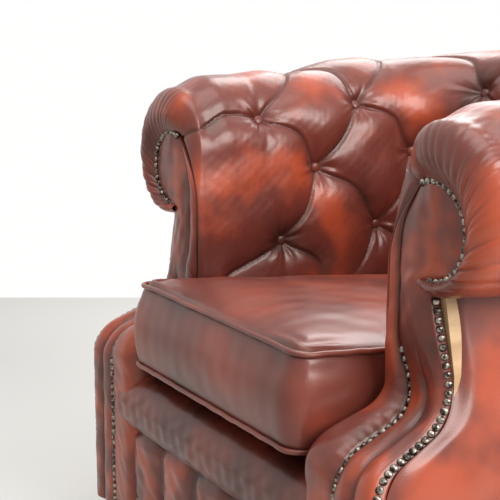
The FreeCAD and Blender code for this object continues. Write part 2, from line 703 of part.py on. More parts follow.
def zigzag(centre):
    """One zigzag spring in its own plane, ending on the two rails."""
    reach, turn = 18.0, 12.0
    start = -20.0
    runs = int((spring_end - start) / (2 * turn))
    turn = (spring_end - start) / runs / 2
    path = []
    way = 1
    for run in range(runs + 1):
        level = start + 2 * turn * run
        near, far = Vector(centre - way * reach, level, 0), Vector(centre + way * reach, level, 0)
        path.append(Part.makeLine(near, far))
        if run < runs:
            middle = far + Vector(way * turn, turn, 0)
            bend = Part.Arc(far, far + Vector(way * turn * 0.70711, turn * 0.29289, 0), middle)
            rest = Part.Arc(middle, far + Vector(way * turn * 0.70711, turn * 1.70711, 0),
                            far + Vector(0, 2 * turn, 0))
            path += [bend.toShape(), rest.toShape()]
        way = -way
    return pipe(path, D["spring_wire"] / 2)


def in_seat_plane(shape):
    """Shape turned into the falling plane of the springs."""
    shape.Placement = Placement(SPRING_ORIGIN, SEAT_TURN)
    return shape


def spring_places():
    """Places of the springs across the seat."""
    count = int(D["spring_count"])
    span = 2 * (CORNER_X - 36)
    return [-span / 2 + span * index / (count - 1) for index in range(count)]


feature("seat_springs", in_seat_plane(Part.makeCompound([zigzag(x) for x in spring_places()])))


def spring_clips():
    """Bent clips that hold the springs' ends on the rails."""
    plate, above = 2.0, D["spring_wire"] / 2 + GAP
    front_leg = -D["spring_wire"] / 2 - 24 * math.tan(TILT)
    rear_leg = -D["spring_wire"] / 2 + 4 * math.tan(TILT)
    clips = []
    for centre in spring_places():
        for low, leg, drop in ((-24, -26, front_leg), (spring_end - 12, spring_end + 4, rear_leg)):
            top = Part.makeBox(24, 20, plate, Vector(centre - 12, low - 2, above))
            foot = Part.makeBox(24, plate, above + plate - drop, Vector(centre - 12, leg, drop))
            clips.append(top.fuse(foot).removeSplitter())
    return Part.makeCompound(clips)


feature("spring_clips", in_seat_plane(spring_clips()))
cloth_low = D["spring_wire"] / 2 + 2 * GAP + 2
hessian = Part.makeBox(2 * SEAT_HALF - 8, spring_end + 30, 2,
                       Vector(4 - SEAT_HALF, -22, cloth_low))
feature("seat_hessian", in_seat_plane(hessian))


def seat_plane(back):
    """Height of the underside of the cushion at a distance behind the front."""
    drop = D["cushion_height"]
    start = D["cushion_setback"] - drop * math.sin(TILT)
    return D["seat_height"] - drop * math.cos(TILT) - (back - start) * math.tan(TILT)


def seat_deck():
    """Stuffed deck between the lip and the back, its rear corners rounded."""
    front, rear = D["lip_depth"] + GAP, BACK_FACE - 3
    half, corner = SEAT_HALF - GAP, D["corner_radius"] + 6
    hessian_top = SPRING_ORIGIN.z + (cloth_low + 2 + GAP) / math.cos(TILT)

    def under(back):
        """Height of the hessian's upper face."""
        return hessian_top - (FRONT + back - SPRING_ORIGIN.y) * math.tan(TILT)

    side = polygon([Vector(-half, FRONT + back, height) for back, height in (
        (front, under(front)), (rear, under(rear)),
        (rear, seat_plane(rear) - GAP), (front, seat_plane(front) - GAP))])
    slab = Part.Face(side).extrude(Vector(2 * half, 0, 0))
    rear_edges = [edge_line for edge_line in slab.Edges
                  if abs(edge_line.CenterOfMass.y - FRONT - rear) < 0.1
                  and abs(abs(edge_line.CenterOfMass.x) - half) < 0.1]
    return slab.makeFillet(corner, rear_edges)


feature("seat_deck", seat_deck())
dust_half = POST_OUT - 18
feature("dust_cover", Part.makeBox(2 * dust_half, BACK_FACE + 4, 1.5,
                                   Vector(-dust_half, FRONT + D["apron_thick"] + 5,
                                          floor_line - 1.5 - GAP)))


# Turned feet with their bolts and glides
GLIDE = 3.0
BUN_SWELL = 16.0


def foot(label, x_place, y_place):
    """Turned bun foot, bored for its bolt, as a revolved profile."""
    body = doc.addObject("PartDesign::Body", label)
    sketch = flat_sketch(body, label + "_profile", "XZ_Plane")
    bore = D["bolt_diameter"] / 2 + GAP
    wide, height = D["foot_diameter"] / 2, floor_line
    bun_low, bun_high = GLIDE + 3, height - 18
    bun_end = wide - BUN_SWELL
    bun = Part.Arc(Vector(bun_end, bun_low, 0), Vector(wide, (bun_low + bun_high) / 2, 0),
                   Vector(bun_end, bun_high, 0))
    outline = [Vector(0, GLIDE, 0), Vector(bun_end - 2, GLIDE, 0), Vector(bun_end, bun_low, 0)]
    upper = [Vector(bun_end, bun_high, 0), Vector(bun_end - 3, bun_high + 6, 0),
             Vector(wide - 9, bun_high + 12, 0), Vector(wide - 9, height, 0), Vector(bore, height, 0),
             Vector(bore, height - BOLT_REACH, 0), Vector(0, height - BOLT_REACH, 0),
             Vector(0, GLIDE, 0)]
    for start, end in zip(outline, outline[1:]):
        sketch.addGeometry(Part.LineSegment(start, end), False)
    sketch.addGeometry(bun, False)
    for start, end in zip(upper, upper[1:]):
        sketch.addGeometry(Part.LineSegment(start, end), False)
    turned = body.newObject("PartDesign::Revolution", label + "_turned")
    turned.Profile = sketch
    turned.ReferenceAxis = (sketch, ["V_Axis"])
    turned.Angle = 360
    body.Placement.Base = Vector(x_place, y_place, 0)
    return keep(body)


for foot_name, foot_x, foot_y in FEET:
    foot(foot_name, foot_x, foot_y)

bolts = [Part.makeCylinder(D["bolt_diameter"] / 2, 2 * BOLT_REACH - 1,
                           Vector(x, y, floor_line - BOLT_REACH + GAP)) for _, x, y in FEET]
feature("foot_bolts", Part.makeCompound(bolts))
glide_radius = D["foot_diameter"] / 2 - BUN_SWELL - 3
glides = [Part.makeCylinder(glide_radius, GLIDE, Vector(x, y, 0)) for _, x, y in FEET]
feature("foot_glides", Part.makeCompound(glides))

for name, x_place, y_place in FEET[:2]:
    rail = [piece for piece in PIECES if piece.Label == name.replace("front_foot", "side_rail")][0]
    doc.recompute()
    hole_sketch = flat_sketch(rail, name + "_bore_plan", "XY_Plane")
    local = Vector(x_place, y_place, 0) - rail.Placement.Base
    radius = D["bolt_diameter"] / 2 + GAP
    hole_sketch.addGeometry(Part.Circle(Vector(local.x, local.y, 0), Vector(0, 0, 1), radius), False)
    bore = rail.newObject("PartDesign::Pocket", name + "_bore")
    bore.Profile = hole_sketch
    bore.Length = BOLT_REACH + GAP
    bore.Reversed = True


# Seat cushion, in its own frame: the front top edge is the origin, it falls to the back
SEAM_INSET = 2.0
SIDE_BULGE = 6.0
CUSHION_HALF = SEAT_HALF - D["cushion_side_gap"]
CUSHION_DEPTH = BACK_FACE - D["cushion_setback"] - D["cushion_back_gap"]
CUSHION_PLACE = Placement(Vector(0, FRONT + D["cushion_setback"], D["seat_height"]), SEAT_TURN)


def cushion_ring(inset, level, draw=0.0):
    """Outline of the cushion at a level: lines or drawn-in arcs between rounded corners."""
    half, front, rear = CUSHION_HALF - inset, inset, CUSHION_DEPTH - inset
    near = max(6.0, D["cushion_front_corner"] - inset * 0.5)
    far = max(12.0, D["cushion_rear_corner"] - inset * 0.5)
    corners = [(half, front, near, -90), (half, rear, far, 0),
               (-half, rear, far, 90), (-half, front, near, 180)]
    arcs = []
    for corner_x, corner_y, radius, start in corners:
        middle = Vector(corner_x - math.copysign(radius, corner_x),
                        corner_y + (radius if start in (-90, 180) else -radius), level)
        spots = [middle + Vector(math.cos(math.radians(turn)), math.sin(math.radians(turn)), 0) * radius
                 for turn in (start, start + 45, start + 90)]
        arcs.append(spots)
    edges = []
    for index, spots in enumerate(arcs):
        edges.append(Part.Arc(*spots).toShape())
        start, end = spots[2], arcs[(index + 1) % 4][0]
        middle = (start + end) * 0.5
        pull = Vector(0, CUSHION_DEPTH / 2, level) - middle
        pull = Vector(pull.x, 0, 0) if abs(pull.x) > abs(pull.y) else Vector(0, pull.y, 0)
        if draw:
            pull.normalize()
            edges.append(Part.Arc(start, middle + pull * draw, end).toShape())
        else:
            edges.append(Part.makeLine(start, end))
    return Part.Wire(edges)


def cushion_form(skin):
    """Crowned cushion with drawn-in seams and full sides, reduced by the skin all round."""
    high, crown = D["cushion_height"], D["cushion_crown"]
    levels = [(9, -high + skin, 2), (SEAM_INSET, -high + 7 + skin * 0.5, 3),
              (-SIDE_BULGE, -high / 2, -2), (SEAM_INSET, -7 - skin * 0.5, 3), (10, -skin, 3)]
    dome_levels = ((0.14, 0.34), (0.32, 0.68), (0.55, 0.92), (0.75, 1.0))
    rings = [cushion_ring(inset + skin, level, draw) for inset, level, draw in levels]
    for share, rise in dome_levels:
        rings.append(cushion_ring(share * CUSHION_HALF + skin, crown * rise - skin, 1))
    return Part.makeLoft(rings, True, True)


def on_cushion(shape):
    """Shape placed with the cushion."""
    shape.Placement = CUSHION_PLACE
    return shape


feature("cushion_cover", on_cushion(cushion_form(0).cut(cushion_form(D["cover_thick"]))))
feature("cushion_core", on_cushion(cushion_form(D["cover_thick"] + GAP)))
cord = D["piping_diameter"] / 2
for name, level in (("piping_top", -cord - 1), ("piping_bottom", 1 + cord - D["cushion_height"])):
    ring = cushion_ring(SEAM_INSET - cord - GAP, level)
    feature(name, on_cushion(pipe(ring.Edges, cord)))


def zip_fastener():
    """Zip in the rear boxing: its tape and the slider."""
    back = CUSHION_DEPTH + SIDE_BULGE + 2 + GAP
    tape = Part.makeBox(300, 1.6, 22, Vector(-150, back, -D["cushion_height"] / 2 - 11))
    slider = Part.makeBox(9, 2.4, 14, Vector(120, back + 1.6 + GAP, -D["cushion_height"] / 2 - 7))
    return Part.makeCompound([tape, slider])


feature("cushion_zip", on_cushion(zip_fastener()))


# Rows of domed nails
def nail(place, normal):
    """One nail head standing just off the leather."""
    return dome(D["nail_diameter"], D["nail_height"], place + normal * GAP, normal)


def nail_row(line):
    """Nails at their pitch along a line of places, each on the flat of its own stretch."""
    nails = []
    left_over = D["nail_pitch"] / 2
    for (start, first_face), (end, second_face) in zip(line, line[1:]):
        run = end - start
        length = run.Length
        along = run * (1 / length)
        face = (first_face + second_face) * 0.5
        face = face - along * face.dot(along)
        face.normalize()
        while left_over < length:
            nails.append(nail(start + along * left_over, face))
            left_over += D["nail_pitch"]
        left_over -= length
    return nails


def inner_line():
    """Line of the inner nail row, on the face of the arm front."""
    line = []
    for back, height, turn in front_line[:8]:
        forward = Vector(0, math.cos(turn), math.sin(turn))
        line.append((Vector(facing_edge(height) + 7, FRONT + back, height), forward))
    return line


def outer_line():
    """Line of the outer nail row, on the outer side of the arm front."""
    line = []
    for back, height, turn in front_line[:-1]:
        forward = Vector(0, math.cos(turn), math.sin(turn))
        spot = Vector(cover_edge(height) + 2 * GAP, FRONT + back, height)
        line.append((spot - forward * (D["facing_thick"] / 2), Vector(1, 0, 0)))
    return line


def scroll_line():
    """Nails round the head of the arm front."""
    radius = D["scroll_radius"] - 8
    count = round(math.radians(211) * radius / D["nail_pitch"])
    nails = []
    for index in range(count + 1):
        turn = math.radians(116 - 211 * index / count)
        place = Vector(D["scroll_out"] + radius * math.cos(turn), FRONT + D["neck_setback"],
                       D["scroll_height"] + radius * math.sin(turn))
        nails.append(nail(place, Vector(0, -1, 0)))
    return nails


def back_seam_line():
    """Line of a nail row down the edge of the outside back."""
    section = cover_section()[:3]
    x_place = CORNER_X - 10
    spots = [Vector(x_place, FRONT + BACK_FACE + out, height) for out, height in section]
    line = [(spots[0] + Vector(0, 0, 10), Vector(0, 1, 0)), (spots[1], Vector(0, 1, 0))]
    return line, [(spots[1], Vector(0, 1, 0)), (spots[2] - Vector(0, -4, 18), Vector(0, 1, 0))]


both_sides("nails_inner", Part.makeCompound(nail_row(inner_line())))
both_sides("nails_outer", Part.makeCompound(nail_row(outer_line()) + scroll_line()))
lower_seam, upper_seam = back_seam_line()
seam_nails = nail_row(lower_seam) + nail_row(upper_seam)
seam_nails += [head.mirror(Vector(0, 0, 0), Vector(1, 0, 0)) for head in seam_nails]
feature("nails_back", Part.makeCompound(seam_nails))


doc.recompute()
faulty = [thing.Label for thing in doc.Objects if set(thing.State) & {"Invalid", "Error"}]
for piece in PIECES:
    if piece.Shape.isNull() or not piece.Shape.isValid() or not piece.Shape.Solids:
        faulty.append(piece.Label)
if faulty:
    raise RuntimeError("failed pieces: " + ", ".join(sorted(set(faulty))))
os.makedirs("parts", exist_ok=True)
for piece in PIECES:
    piece.Shape.exportStep(os.path.join("parts", piece.Label + ".step"))
print("%d sub-parts written" % len(PIECES))
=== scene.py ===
"""Looks of a deep-buttoned leather armchair with scrolled arms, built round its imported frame."""

import logging
import math
from dataclasses import dataclass, field
from enum import Enum
from typing import Optional, Sequence, Union

import bpy
import numpy as np
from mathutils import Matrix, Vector


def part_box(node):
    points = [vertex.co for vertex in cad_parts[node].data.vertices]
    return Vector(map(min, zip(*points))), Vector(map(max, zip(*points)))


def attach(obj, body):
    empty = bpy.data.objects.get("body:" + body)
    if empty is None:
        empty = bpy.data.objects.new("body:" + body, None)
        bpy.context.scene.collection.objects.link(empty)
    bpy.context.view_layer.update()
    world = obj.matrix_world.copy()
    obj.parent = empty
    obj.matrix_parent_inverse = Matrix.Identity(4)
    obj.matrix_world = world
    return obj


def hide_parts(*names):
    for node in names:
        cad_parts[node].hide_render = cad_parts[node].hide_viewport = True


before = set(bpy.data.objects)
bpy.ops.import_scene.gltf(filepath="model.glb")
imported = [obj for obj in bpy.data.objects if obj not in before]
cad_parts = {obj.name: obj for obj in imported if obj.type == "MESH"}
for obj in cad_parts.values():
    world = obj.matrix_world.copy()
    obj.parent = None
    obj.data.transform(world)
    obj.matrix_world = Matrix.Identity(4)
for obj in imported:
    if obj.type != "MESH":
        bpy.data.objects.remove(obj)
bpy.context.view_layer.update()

Array = np.ndarray
Triple = tuple[float, float, float]
Colour = Triple
MIRROR = np.array([-1.0, 1.0, 1.0])
LOG = logging.getLogger("armchair")


class Side(Enum):
    """Side of the chair, as the sitter sees it, with the sign of its X."""

    LEFT = 1
    RIGHT = -1

    def node(self, name: str) -> str:
        """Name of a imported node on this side."""
        return f"{name}_{self.name.lower()}"


@dataclass(frozen=True)
class Sizes:
    """Shared sizes of the chair, in metres."""

    front: float
    back_face: float = 0.656
    seat_half: float = 0.266
    seat_height: float = 0.520
    corner_radius: float = 0.080
    roll_radius: float = 0.122
    roll_centre: float = 0.728
    back_rise: float = 0.062
    pad_foot: float = 0.300
    end_radius: float = 0.112
    end_out: float = 0.119
    end_height: float = 0.720
    end_gather: float = 0.055
    first_column: float = 0.260
    neck_setback: float = 0.132
    facing_thick: float = 0.018
    scroll_x: float = 0.372
    scroll_z: float = 0.690
    nail_circle: float = 0.064
    foot_height: float = 0.080
    bend_z: float = 0.370
    neck_z: float = 0.606
    seam_x: float = 0.279
    seam_swing: float = 0.064
    seam_bend: float = 0.640
    seam_rise: float = 0.107

    @property
    def leather_start(self) -> float:
        """Distance along the seat where the inside leather leaves the arm front."""
        return self.neck_setback + self.facing_thick

    @property
    def corner_start(self) -> float:
        """Distance along the seat where the inside corner begins."""
        return self.back_face - self.corner_radius

    @property
    def path_middle(self) -> float:
        """Distance along the seat to the middle of the back."""
        return self.corner_start + self.corner_radius * math.pi / 2 + self.corner_x

    @property
    def corner_x(self) -> float:
        """X of the centre of the inside corner."""
        return self.seat_half - self.corner_radius


SIZES = Sizes(front=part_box("arm_facing_left")[0].y)


def smooth(low: float, high: float, value: Union[float, Array]) -> Array:
    """Smooth step from 0 to 1 between two values.

    Args:
        low: Where the step starts.
        high: Where the step ends.
        value: Value or array to step.

    Returns:
        The stepped value, 0 to 1.
    """
    share = np.clip((np.asarray(value, float) - low) / (high - low), 0.0, 1.0)
    return share * share * (3 - 2 * share)


def wander(seed: int, scale: float, *axes: Array) -> Array:
    """Soft random waves over up to three coordinates.

    Args:
        seed: Seed of the waves.
        scale: Length of the longest wave, in metres.
        axes: Coordinates in metres.

    Returns:
        Values of about -1 to 1.
    """
    rng = np.random.default_rng(seed)
    total = np.zeros(np.broadcast(*axes).shape)
    for octave in range(7):
        turn = rng.uniform(-1, 1, len(axes))
        turn /= np.linalg.norm(turn)
        length = scale / (1 + 0.45 * octave)
        phase = sum(axis * part for axis, part in zip(axes, turn)) / length
        total += np.sin(2 * math.pi * (phase + rng.uniform())) / 3.2
    return total


def both_halves(rows: Array) -> Array:
    """Rows of the left half, then those of the right half from the middle on.

    Args:
        rows: Rows of points or of shader values, the middle row last.

    Returns:
        The rows of the whole.
    """
    other = rows[::-1][1:]
    return np.concatenate([rows, other * MIRROR if rows.shape[-1] == 3 else other])


def add_layer(mesh: bpy.types.Mesh, name: str, values: Array) -> None:
    """Give a mesh a value per point for the shader."""
    layer = mesh.attributes.new(name, "FLOAT", "POINT")
    layer.data.foreach_set("value", np.asarray(values, np.float32))


def read_points(mesh: bpy.types.Mesh) -> Array:
    """Points of a mesh, one row each.

    Args:
        mesh: The mesh.

    Returns:
        The points.
    """
    flat = np.empty(len(mesh.vertices) * 3)
    mesh.vertices.foreach_get("co", flat)
    return flat.reshape(-1, 3)


def make_mesh(name: str, points: Array, faces: Sequence[Sequence[int]],
              layers: Optional[dict[str, Array]] = None) -> bpy.types.Object:
    """Smooth-shaded object from points and faces.

    Args:
        name: Name of the piece.
        points: Points, one row each.
        faces: Point numbers of each face.
        layers: Values per point for the shader, by name.

    Returns:
        The new object, linked to the scene.
    """
    mesh = bpy.data.meshes.new(name)
    mesh.from_pydata(np.asarray(points, float).tolist(), [], [list(map(int, f)) for f in faces])
    for layer, values in (layers or {}).items():
        add_layer(mesh, layer, values)
    mesh.shade_smooth()
    mesh.update()
    thing = bpy.data.objects.new(name, mesh)
    bpy.context.scene.collection.objects.link(thing)
    return thing


def grid_faces(rows: int, columns: int, wrap: bool = False, flip: bool = False,
               start: int = 0) -> list[list[int]]:
    """Quads of a grid of points.

    Args:
        rows: Rows of points.
        columns: Points in a row.
        wrap: Whether each row closes on itself.
        flip: Whether the faces turn the other way.
        start: Number of the first point.

    Returns:
        A list of faces.
    """
    faces = []
    for row in range(rows - 1):
        for column in range(columns if wrap else columns - 1):
            after = (column + 1) % columns
            face = (row * columns + column, row * columns + after,
                    (row + 1) * columns + after, (row + 1) * columns + column)
            faces.append([start + point for point in (face[::-1] if flip else face)])
    return faces


def grid_mesh(name: str, points: Array, layers: Optional[dict[str, Array]] = None,
              wrap: bool = False, flip: bool = False) -> bpy.types.Object:
    """Object from a grid of points.

    Args:
        name: Name of the piece.
        points: Points as rows by columns by 3.
        layers: Shader values, rows by columns.
        wrap: Whether each row closes on itself.
        flip: Whether the faces turn the other way.

    Returns:
        The new object.
    """
    rows, columns = points.shape[:2]
    flat = {key: values.reshape(-1) for key, values in (layers or {}).items()}
    return make_mesh(name, points.reshape(-1, 3), grid_faces(rows, columns, wrap, flip), flat)


def mirrored(points: Array, side: Side) -> Array:
    """Points of the left side, or their mirror image on the right."""
    return points * np.array([side.value, 1.0, 1.0])


def tube(name: str, path: Array, radius: float, closed: bool = False, sides: int = 12,
         squeeze: Optional[Array] = None) -> bpy.types.Object:
    """Cord along a path of points.

    Args:
        name: Name of the piece.
        path: Points along the middle of the cord.
        radius: Radius of the cord.
        closed: Whether the path closes on itself.
        sides: Points round the cord.
        squeeze: Factor on the radius at each point of the path.

    Returns:
        The new object.
    """
    if closed:
        tangent = np.roll(path, -1, 0) - np.roll(path, 1, 0)
    else:
        tangent = np.gradient(path, axis=0)
    tangent /= np.linalg.norm(tangent, axis=1, keepdims=True)
    level = np.cross(tangent, [0, 0, 1.0])
    upright = np.linalg.norm(level, axis=1) < 0.05
    level[upright] = np.cross(tangent[upright], [1.0, 0, 0])
    level /= np.linalg.norm(level, axis=1, keepdims=True)
    rise = np.cross(level, tangent)
    turn = np.linspace(0, 2 * math.pi, sides, endpoint=False)
    size = radius * (np.ones(len(path)) if squeeze is None else squeeze)
    ring = (path[:, None] + size[:, None, None] * (level[:, None] * np.cos(turn)[:, None]
                                                  + rise[:, None] * np.sin(turn)[:, None]))
    faces = grid_faces(len(path), sides, wrap=True)
    last = (len(path) - 1) * sides
    if closed:
        faces += [(last + k, last + (k + 1) % sides, (k + 1) % sides, k) for k in range(sides)]
    else:
        faces += [list(range(sides))[::-1], [last + k for k in range(sides)]]
    plain = np.zeros(len(path) * sides)
    return make_mesh(name, ring.reshape(-1, 3), faces, {"hollow": plain, "crease": plain})


class Signal:
    """A shader value; Python's operators on it add Math nodes."""

    def __init__(self, shader: "Shader", socket: bpy.types.NodeSocket) -> None:
        """Keep the shader and the socket that gives the value."""
        self.shader = shader
        self.socket = socket

    def _math(self, operation: str, other: Union["Signal", float], flip: bool = False) -> "Signal":
        """Math node on this value and another.

        Args:
            operation: Blender's name of the operation.
            other: Second value.
            flip: Whether the second value comes first.

        Returns:
            The result.
        """
        first, second = (other, self) if flip else (self, other)
        return self.shader.add("ShaderNodeMath", {"operation": operation}, {0: first, 1: second})

    def __add__(self, other: Union["Signal", float]) -> "Signal":
        """Sum."""
        return self._math("ADD", other)

    def __sub__(self, other: Union["Signal", float]) -> "Signal":
        """Difference."""
        return self._math("SUBTRACT", other)

    def __rsub__(self, other: float) -> "Signal":
        """Difference from a number."""
        return self._math("SUBTRACT", other, flip=True)

    def __mul__(self, other: Union["Signal", float]) -> "Signal":
        """Product."""
        return self._math("MULTIPLY", other)

    def larger(self, other: "Signal") -> "Signal":
        """The larger of two signals."""
        return self._math("MAXIMUM", other)

    __radd__ = __add__
    __rmul__ = __mul__

    def step(self, low: float, high: float) -> "Signal":
        """Smooth step from 0 to 1 between two values."""
        return self.shader.add("ShaderNodeMapRange", {"interpolation_type": "SMOOTHSTEP"},
                               {"Value": self, "From Min": low, "From Max": high})


class Shader:
    """Node tree of a material or of the world, round the node that makes its surface."""

    def __init__(self, name: str, world: bool = False) -> None:
        """Make the material or world and find its surface node.

        Args:
            name: Name of the material or world.
            world: Whether it is the world.
        """
        self.owner = (bpy.data.worlds if world else bpy.data.materials).new(name)
        self.owner.use_nodes = True
        self.tree = self.owner.node_tree
        self.surface = self.tree.nodes["Background" if world else "Principled BSDF"]

    def add(self, kind: str, settings: Optional[dict] = None, inputs: Optional[dict] = None,
            output: Union[int, str] = 0) -> Signal:
        """Add a node.

        Args:
            kind: Blender's name of the node's type.
            settings: Settings of the node, set first.
            inputs: Values or signals for its sockets, by name or number.
            output: Name or number of the output that is wanted.

        Returns:
            The output as a signal.
        """
        node = self.tree.nodes.new(kind)
        for key, value in (settings or {}).items():
            setattr(node, key, value)
        for key, value in (inputs or {}).items():
            if isinstance(value, Signal):
                self.tree.links.new(value.socket, node.inputs[key])
            else:
                node.inputs[key].default_value = value
        return Signal(self, node.outputs[output])

    def place(self) -> Signal:
        """Object coordinates, in metres."""
        return self.add("ShaderNodeTexCoord", output="Object")

    def ray(self, kind: str) -> Signal:
        """1 for the rays that Light Path's output of this name tells, else 0."""
        return self.add("ShaderNodeLightPath", output=kind)

    def layer(self, name: str) -> Signal:
        """Value that a piece holds per point."""
        return self.add("ShaderNodeAttribute", {"attribute_name": name}, output="Fac")

    def noise(self, scale: float, detail: float = 3.0, where: Optional[Signal] = None,
              roughness: float = 0.5) -> Signal:
        """Noise over the object.

        Args:
            scale: Waves to a metre.
            detail: Octaves of the noise.
            where: Coordinates; the object's own when left out.
            roughness: Strength of the finer octaves.

        Returns:
            Noise of 0 to 1.
        """
        return self.add("ShaderNodeTexNoise", {}, {"Vector": where or self.place(), "Scale": scale,
                                                   "Detail": detail, "Roughness": roughness})

    def stretched(self, scale: Triple) -> Signal:
        """Object coordinates with each axis scaled."""
        return self.add("ShaderNodeMapping", {}, {"Vector": self.place(), "Scale": scale})

    def cells(self, scale: float) -> Signal:
        """Distance to the edges of small cells, as on leather."""
        return self.add("ShaderNodeTexVoronoi", {"feature": "DISTANCE_TO_EDGE"},
                        {"Vector": self.place(), "Scale": scale}, "Distance")

    def blend(self, factor: Union[Signal, float], first: Union[Signal, Colour],
              second: Union[Signal, Colour], mode: str = "MIX") -> Signal:
        """Mix two colours.

        Args:
            factor: 0 for the first colour, 1 for the second.
            first: First colour.
            second: Second colour.
            mode: Blender's name of the way of mixing.

        Returns:
            The mixed colour.
        """
        colours = [c if isinstance(c, Signal) else (*c, 1.0) for c in (first, second)]
        return self.add("ShaderNodeMix", {"data_type": "RGBA", "blend_type": mode},
                        {0: factor, 6: colours[0], 7: colours[1]}, 2)

    def bump(self, height: Signal, strength: float, depth: float,
             under: Optional[Signal] = None) -> Signal:
        """Bump from a height.

        Args:
            height: Height of 0 to 1.
            strength: Strength of the bump.
            depth: Depth in metres.
            under: Normal that this bump lies on.

        Returns:
            The bumped normal.
        """
        inputs = {"Strength": strength, "Distance": depth, "Height": height}
        if under:
            inputs["Normal"] = under
        return self.add("ShaderNodeBump", {}, inputs)

    def finish(self, **sockets: Union[Signal, float, Colour]) -> bpy.types.ID:
        """Set the surface node's sockets, named with _ for a space.

        Args:
            sockets: Value or signal of each socket.

        Returns:
            The material or world.
        """
        for key, value in sockets.items():
            socket = self.surface.inputs[key.replace("_", " ")]
            if isinstance(value, Signal):
                self.tree.links.new(value.socket, socket)
            else:
                socket.default_value = (*value, 1.0) if isinstance(value, tuple) else value
        return self.owner


@dataclass(frozen=True)
class Hide:
    """Hand-rubbed leather: bright where the colour is rubbed away, with painted shade darkening its
    folds and hollows.
    """

    name: str = "hide"
    dark: Colour = (0.044, 0.012, 0.008)
    middle: Colour = (0.125, 0.025, 0.017)
    bright: Colour = (0.350, 0.056, 0.021)
    rub_low: float = 0.50
    rub_high: float = 0.76
    # Strength of the painted shade along creases.
    fold_shade: float = 0.70
    patch: float = 8.0
    roughness: float = 0.38
    coat: float = 0.30
    coat_roughness: float = 0.20
    gloss: float = 0.45
    gloss_tint: Colour = (1.0, 0.74, 0.66)
    pores_per_metre: float = 620.0
    grain_per_metre: float = 1100.0
    lines_per_metre: float = 230.0

    def material(self) -> bpy.types.Material:
        """Material of the leather: patches of rubbed colour over pores, grain and fine lines, with
        painted shade where the piece's hollow and crease values are high.

        Returns:
            The material; it reads the piece's hollow and crease values.
        """
        shader = Shader(self.name)
        hollow = shader.layer("hollow")
        patches = shader.noise(self.patch, 2.0, roughness=0.45)
        streaks = shader.noise(22.0, 4.0, roughness=0.6)
        # Painted shade: the tone drops where the piece's hollow value is high, in folds and recesses.
        tone = patches * 0.92 + streaks * 0.22 - hollow * 0.20 + 0.04
        colour = shader.blend(tone.step(0.20, 0.50), self.dark, self.middle)
        colour = shader.blend(tone.step(self.rub_low, self.rub_high), colour, self.bright)
        crease = shader.layer("crease")
        # Painted shade: the colour goes to the dark colour along the piece's creases.
        colour = shader.blend(crease * self.fold_shade, colour, self.dark)
        pores = shader.cells(self.pores_per_metre)
        grain = shader.noise(self.grain_per_metre, 2.0)
        lines = shader.noise(self.lines_per_metre, 3.0, shader.stretched((1.0, 1.0, 2.2)))
        skin = shader.bump(pores.step(0.0, 0.12) * 0.5 + grain * 0.5, 0.14, 0.0005)
        skin = shader.bump(lines * (hollow + 0.15), 0.40, 0.0009, skin)
        rough = streaks * 0.12 + crease * 0.15 + (self.roughness - 0.06)
        return shader.finish(Base_Color=colour, Roughness=rough, Normal=skin, Coat_Weight=self.coat,
                             Coat_Roughness=self.coat_roughness, Specular_IOR_Level=self.gloss,
                             Specular_Tint=self.gloss_tint)


@dataclass(frozen=True)
class Wood:
    """Timber with grain along one axis."""

    name: str
    light: Colour
    dark: Colour
    along: Triple
    roughness: float
    coat: float

    def material(self) -> bpy.types.Material:
        """Material of the timber: broad rings with fine fibres over them.

        Returns:
            The material.
        """
        shader = Shader(self.name)
        where = shader.stretched(self.along)
        rings = shader.noise(30.0, 4.0, where, 0.6)
        fibres = shader.noise(190.0, 3.0, where, 0.7)
        tone = rings.step(0.35, 0.65) * 0.7 + fibres * 0.3
        colour = shader.blend(tone, self.dark, self.light)
        skin = shader.bump(fibres, 0.25, 0.0008)
        return shader.finish(Base_Color=colour, Roughness=fibres * 0.15 + self.roughness, Normal=skin,
                             Coat_Weight=self.coat, Coat_Roughness=0.12)


@dataclass(frozen=True)
class Metal:
    """Metal with worn high spots."""

    name: str
    worn: Colour
    patina: Colour
    roughness: float
    scale: float = 160.0

    def material(self) -> bpy.types.Material:
        """Material of the metal: a dark patina, bright where it is worn.

        Returns:
            The material.
        """
        shader = Shader(self.name)
        spots = shader.noise(self.scale, 3.0, roughness=0.6)
        colour = shader.blend(spots.step(0.40, 0.62), self.patina, self.worn)
        skin = shader.bump(shader.noise(self.scale * 4, 2.0), 0.15, 0.0004)
        return shader.finish(Base_Color=colour, Roughness=spots * 0.20 + self.roughness, Normal=skin,
                             Metallic=1.0)


@dataclass(frozen=True)
class Cloth:
    """Plain woven or felted cloth."""

    name: str
    thread: Colour
    gap: Colour
    pitch: float
    roughness: float = 0.9

    def material(self) -> bpy.types.Material:
        """Material of the cloth: two sets of threads that cross.

        Returns:
            The material.
        """
        shader = Shader(self.name)
        count = 1.0 / self.pitch
        warp, weft = (shader.add("ShaderNodeTexWave", {"bands_direction": axis},
                                 {"Vector": shader.place(), "Scale": count * 0.31,
                                  "Distortion": 1.2, "Detail": 2.0, "Detail Scale": 3.0}, "Fac")
                      for axis in ("X", "Y"))
        weave = warp * 0.5 + weft * 0.5
        tint = shader.noise(count * 0.2, 2.0)
        colour = shader.blend(weave * 0.6 + tint * 0.4, self.gap, self.thread)
        skin = shader.bump(weave, 0.6, self.pitch * 0.4)
        return shader.finish(Base_Color=colour, Roughness=self.roughness, Normal=skin)


@dataclass(frozen=True)
class Plastic:
    """Moulded plastic with a fine texture."""

    name: str
    colour: Colour
    roughness: float = 0.5

    def material(self) -> bpy.types.Material:
        """Material of the plastic: one colour with fine specks.

        Returns:
            The material.
        """
        shader = Shader(self.name)
        speck = shader.noise(900.0, 2.0)
        lighter = tuple(min(1.0, part * 1.4 + 0.01) for part in self.colour)
        return shader.finish(Base_Color=shader.blend(speck, self.colour, lighter),
                             Roughness=speck * 0.15 + self.roughness,
                             Normal=shader.bump(speck, 0.2, 0.0003))


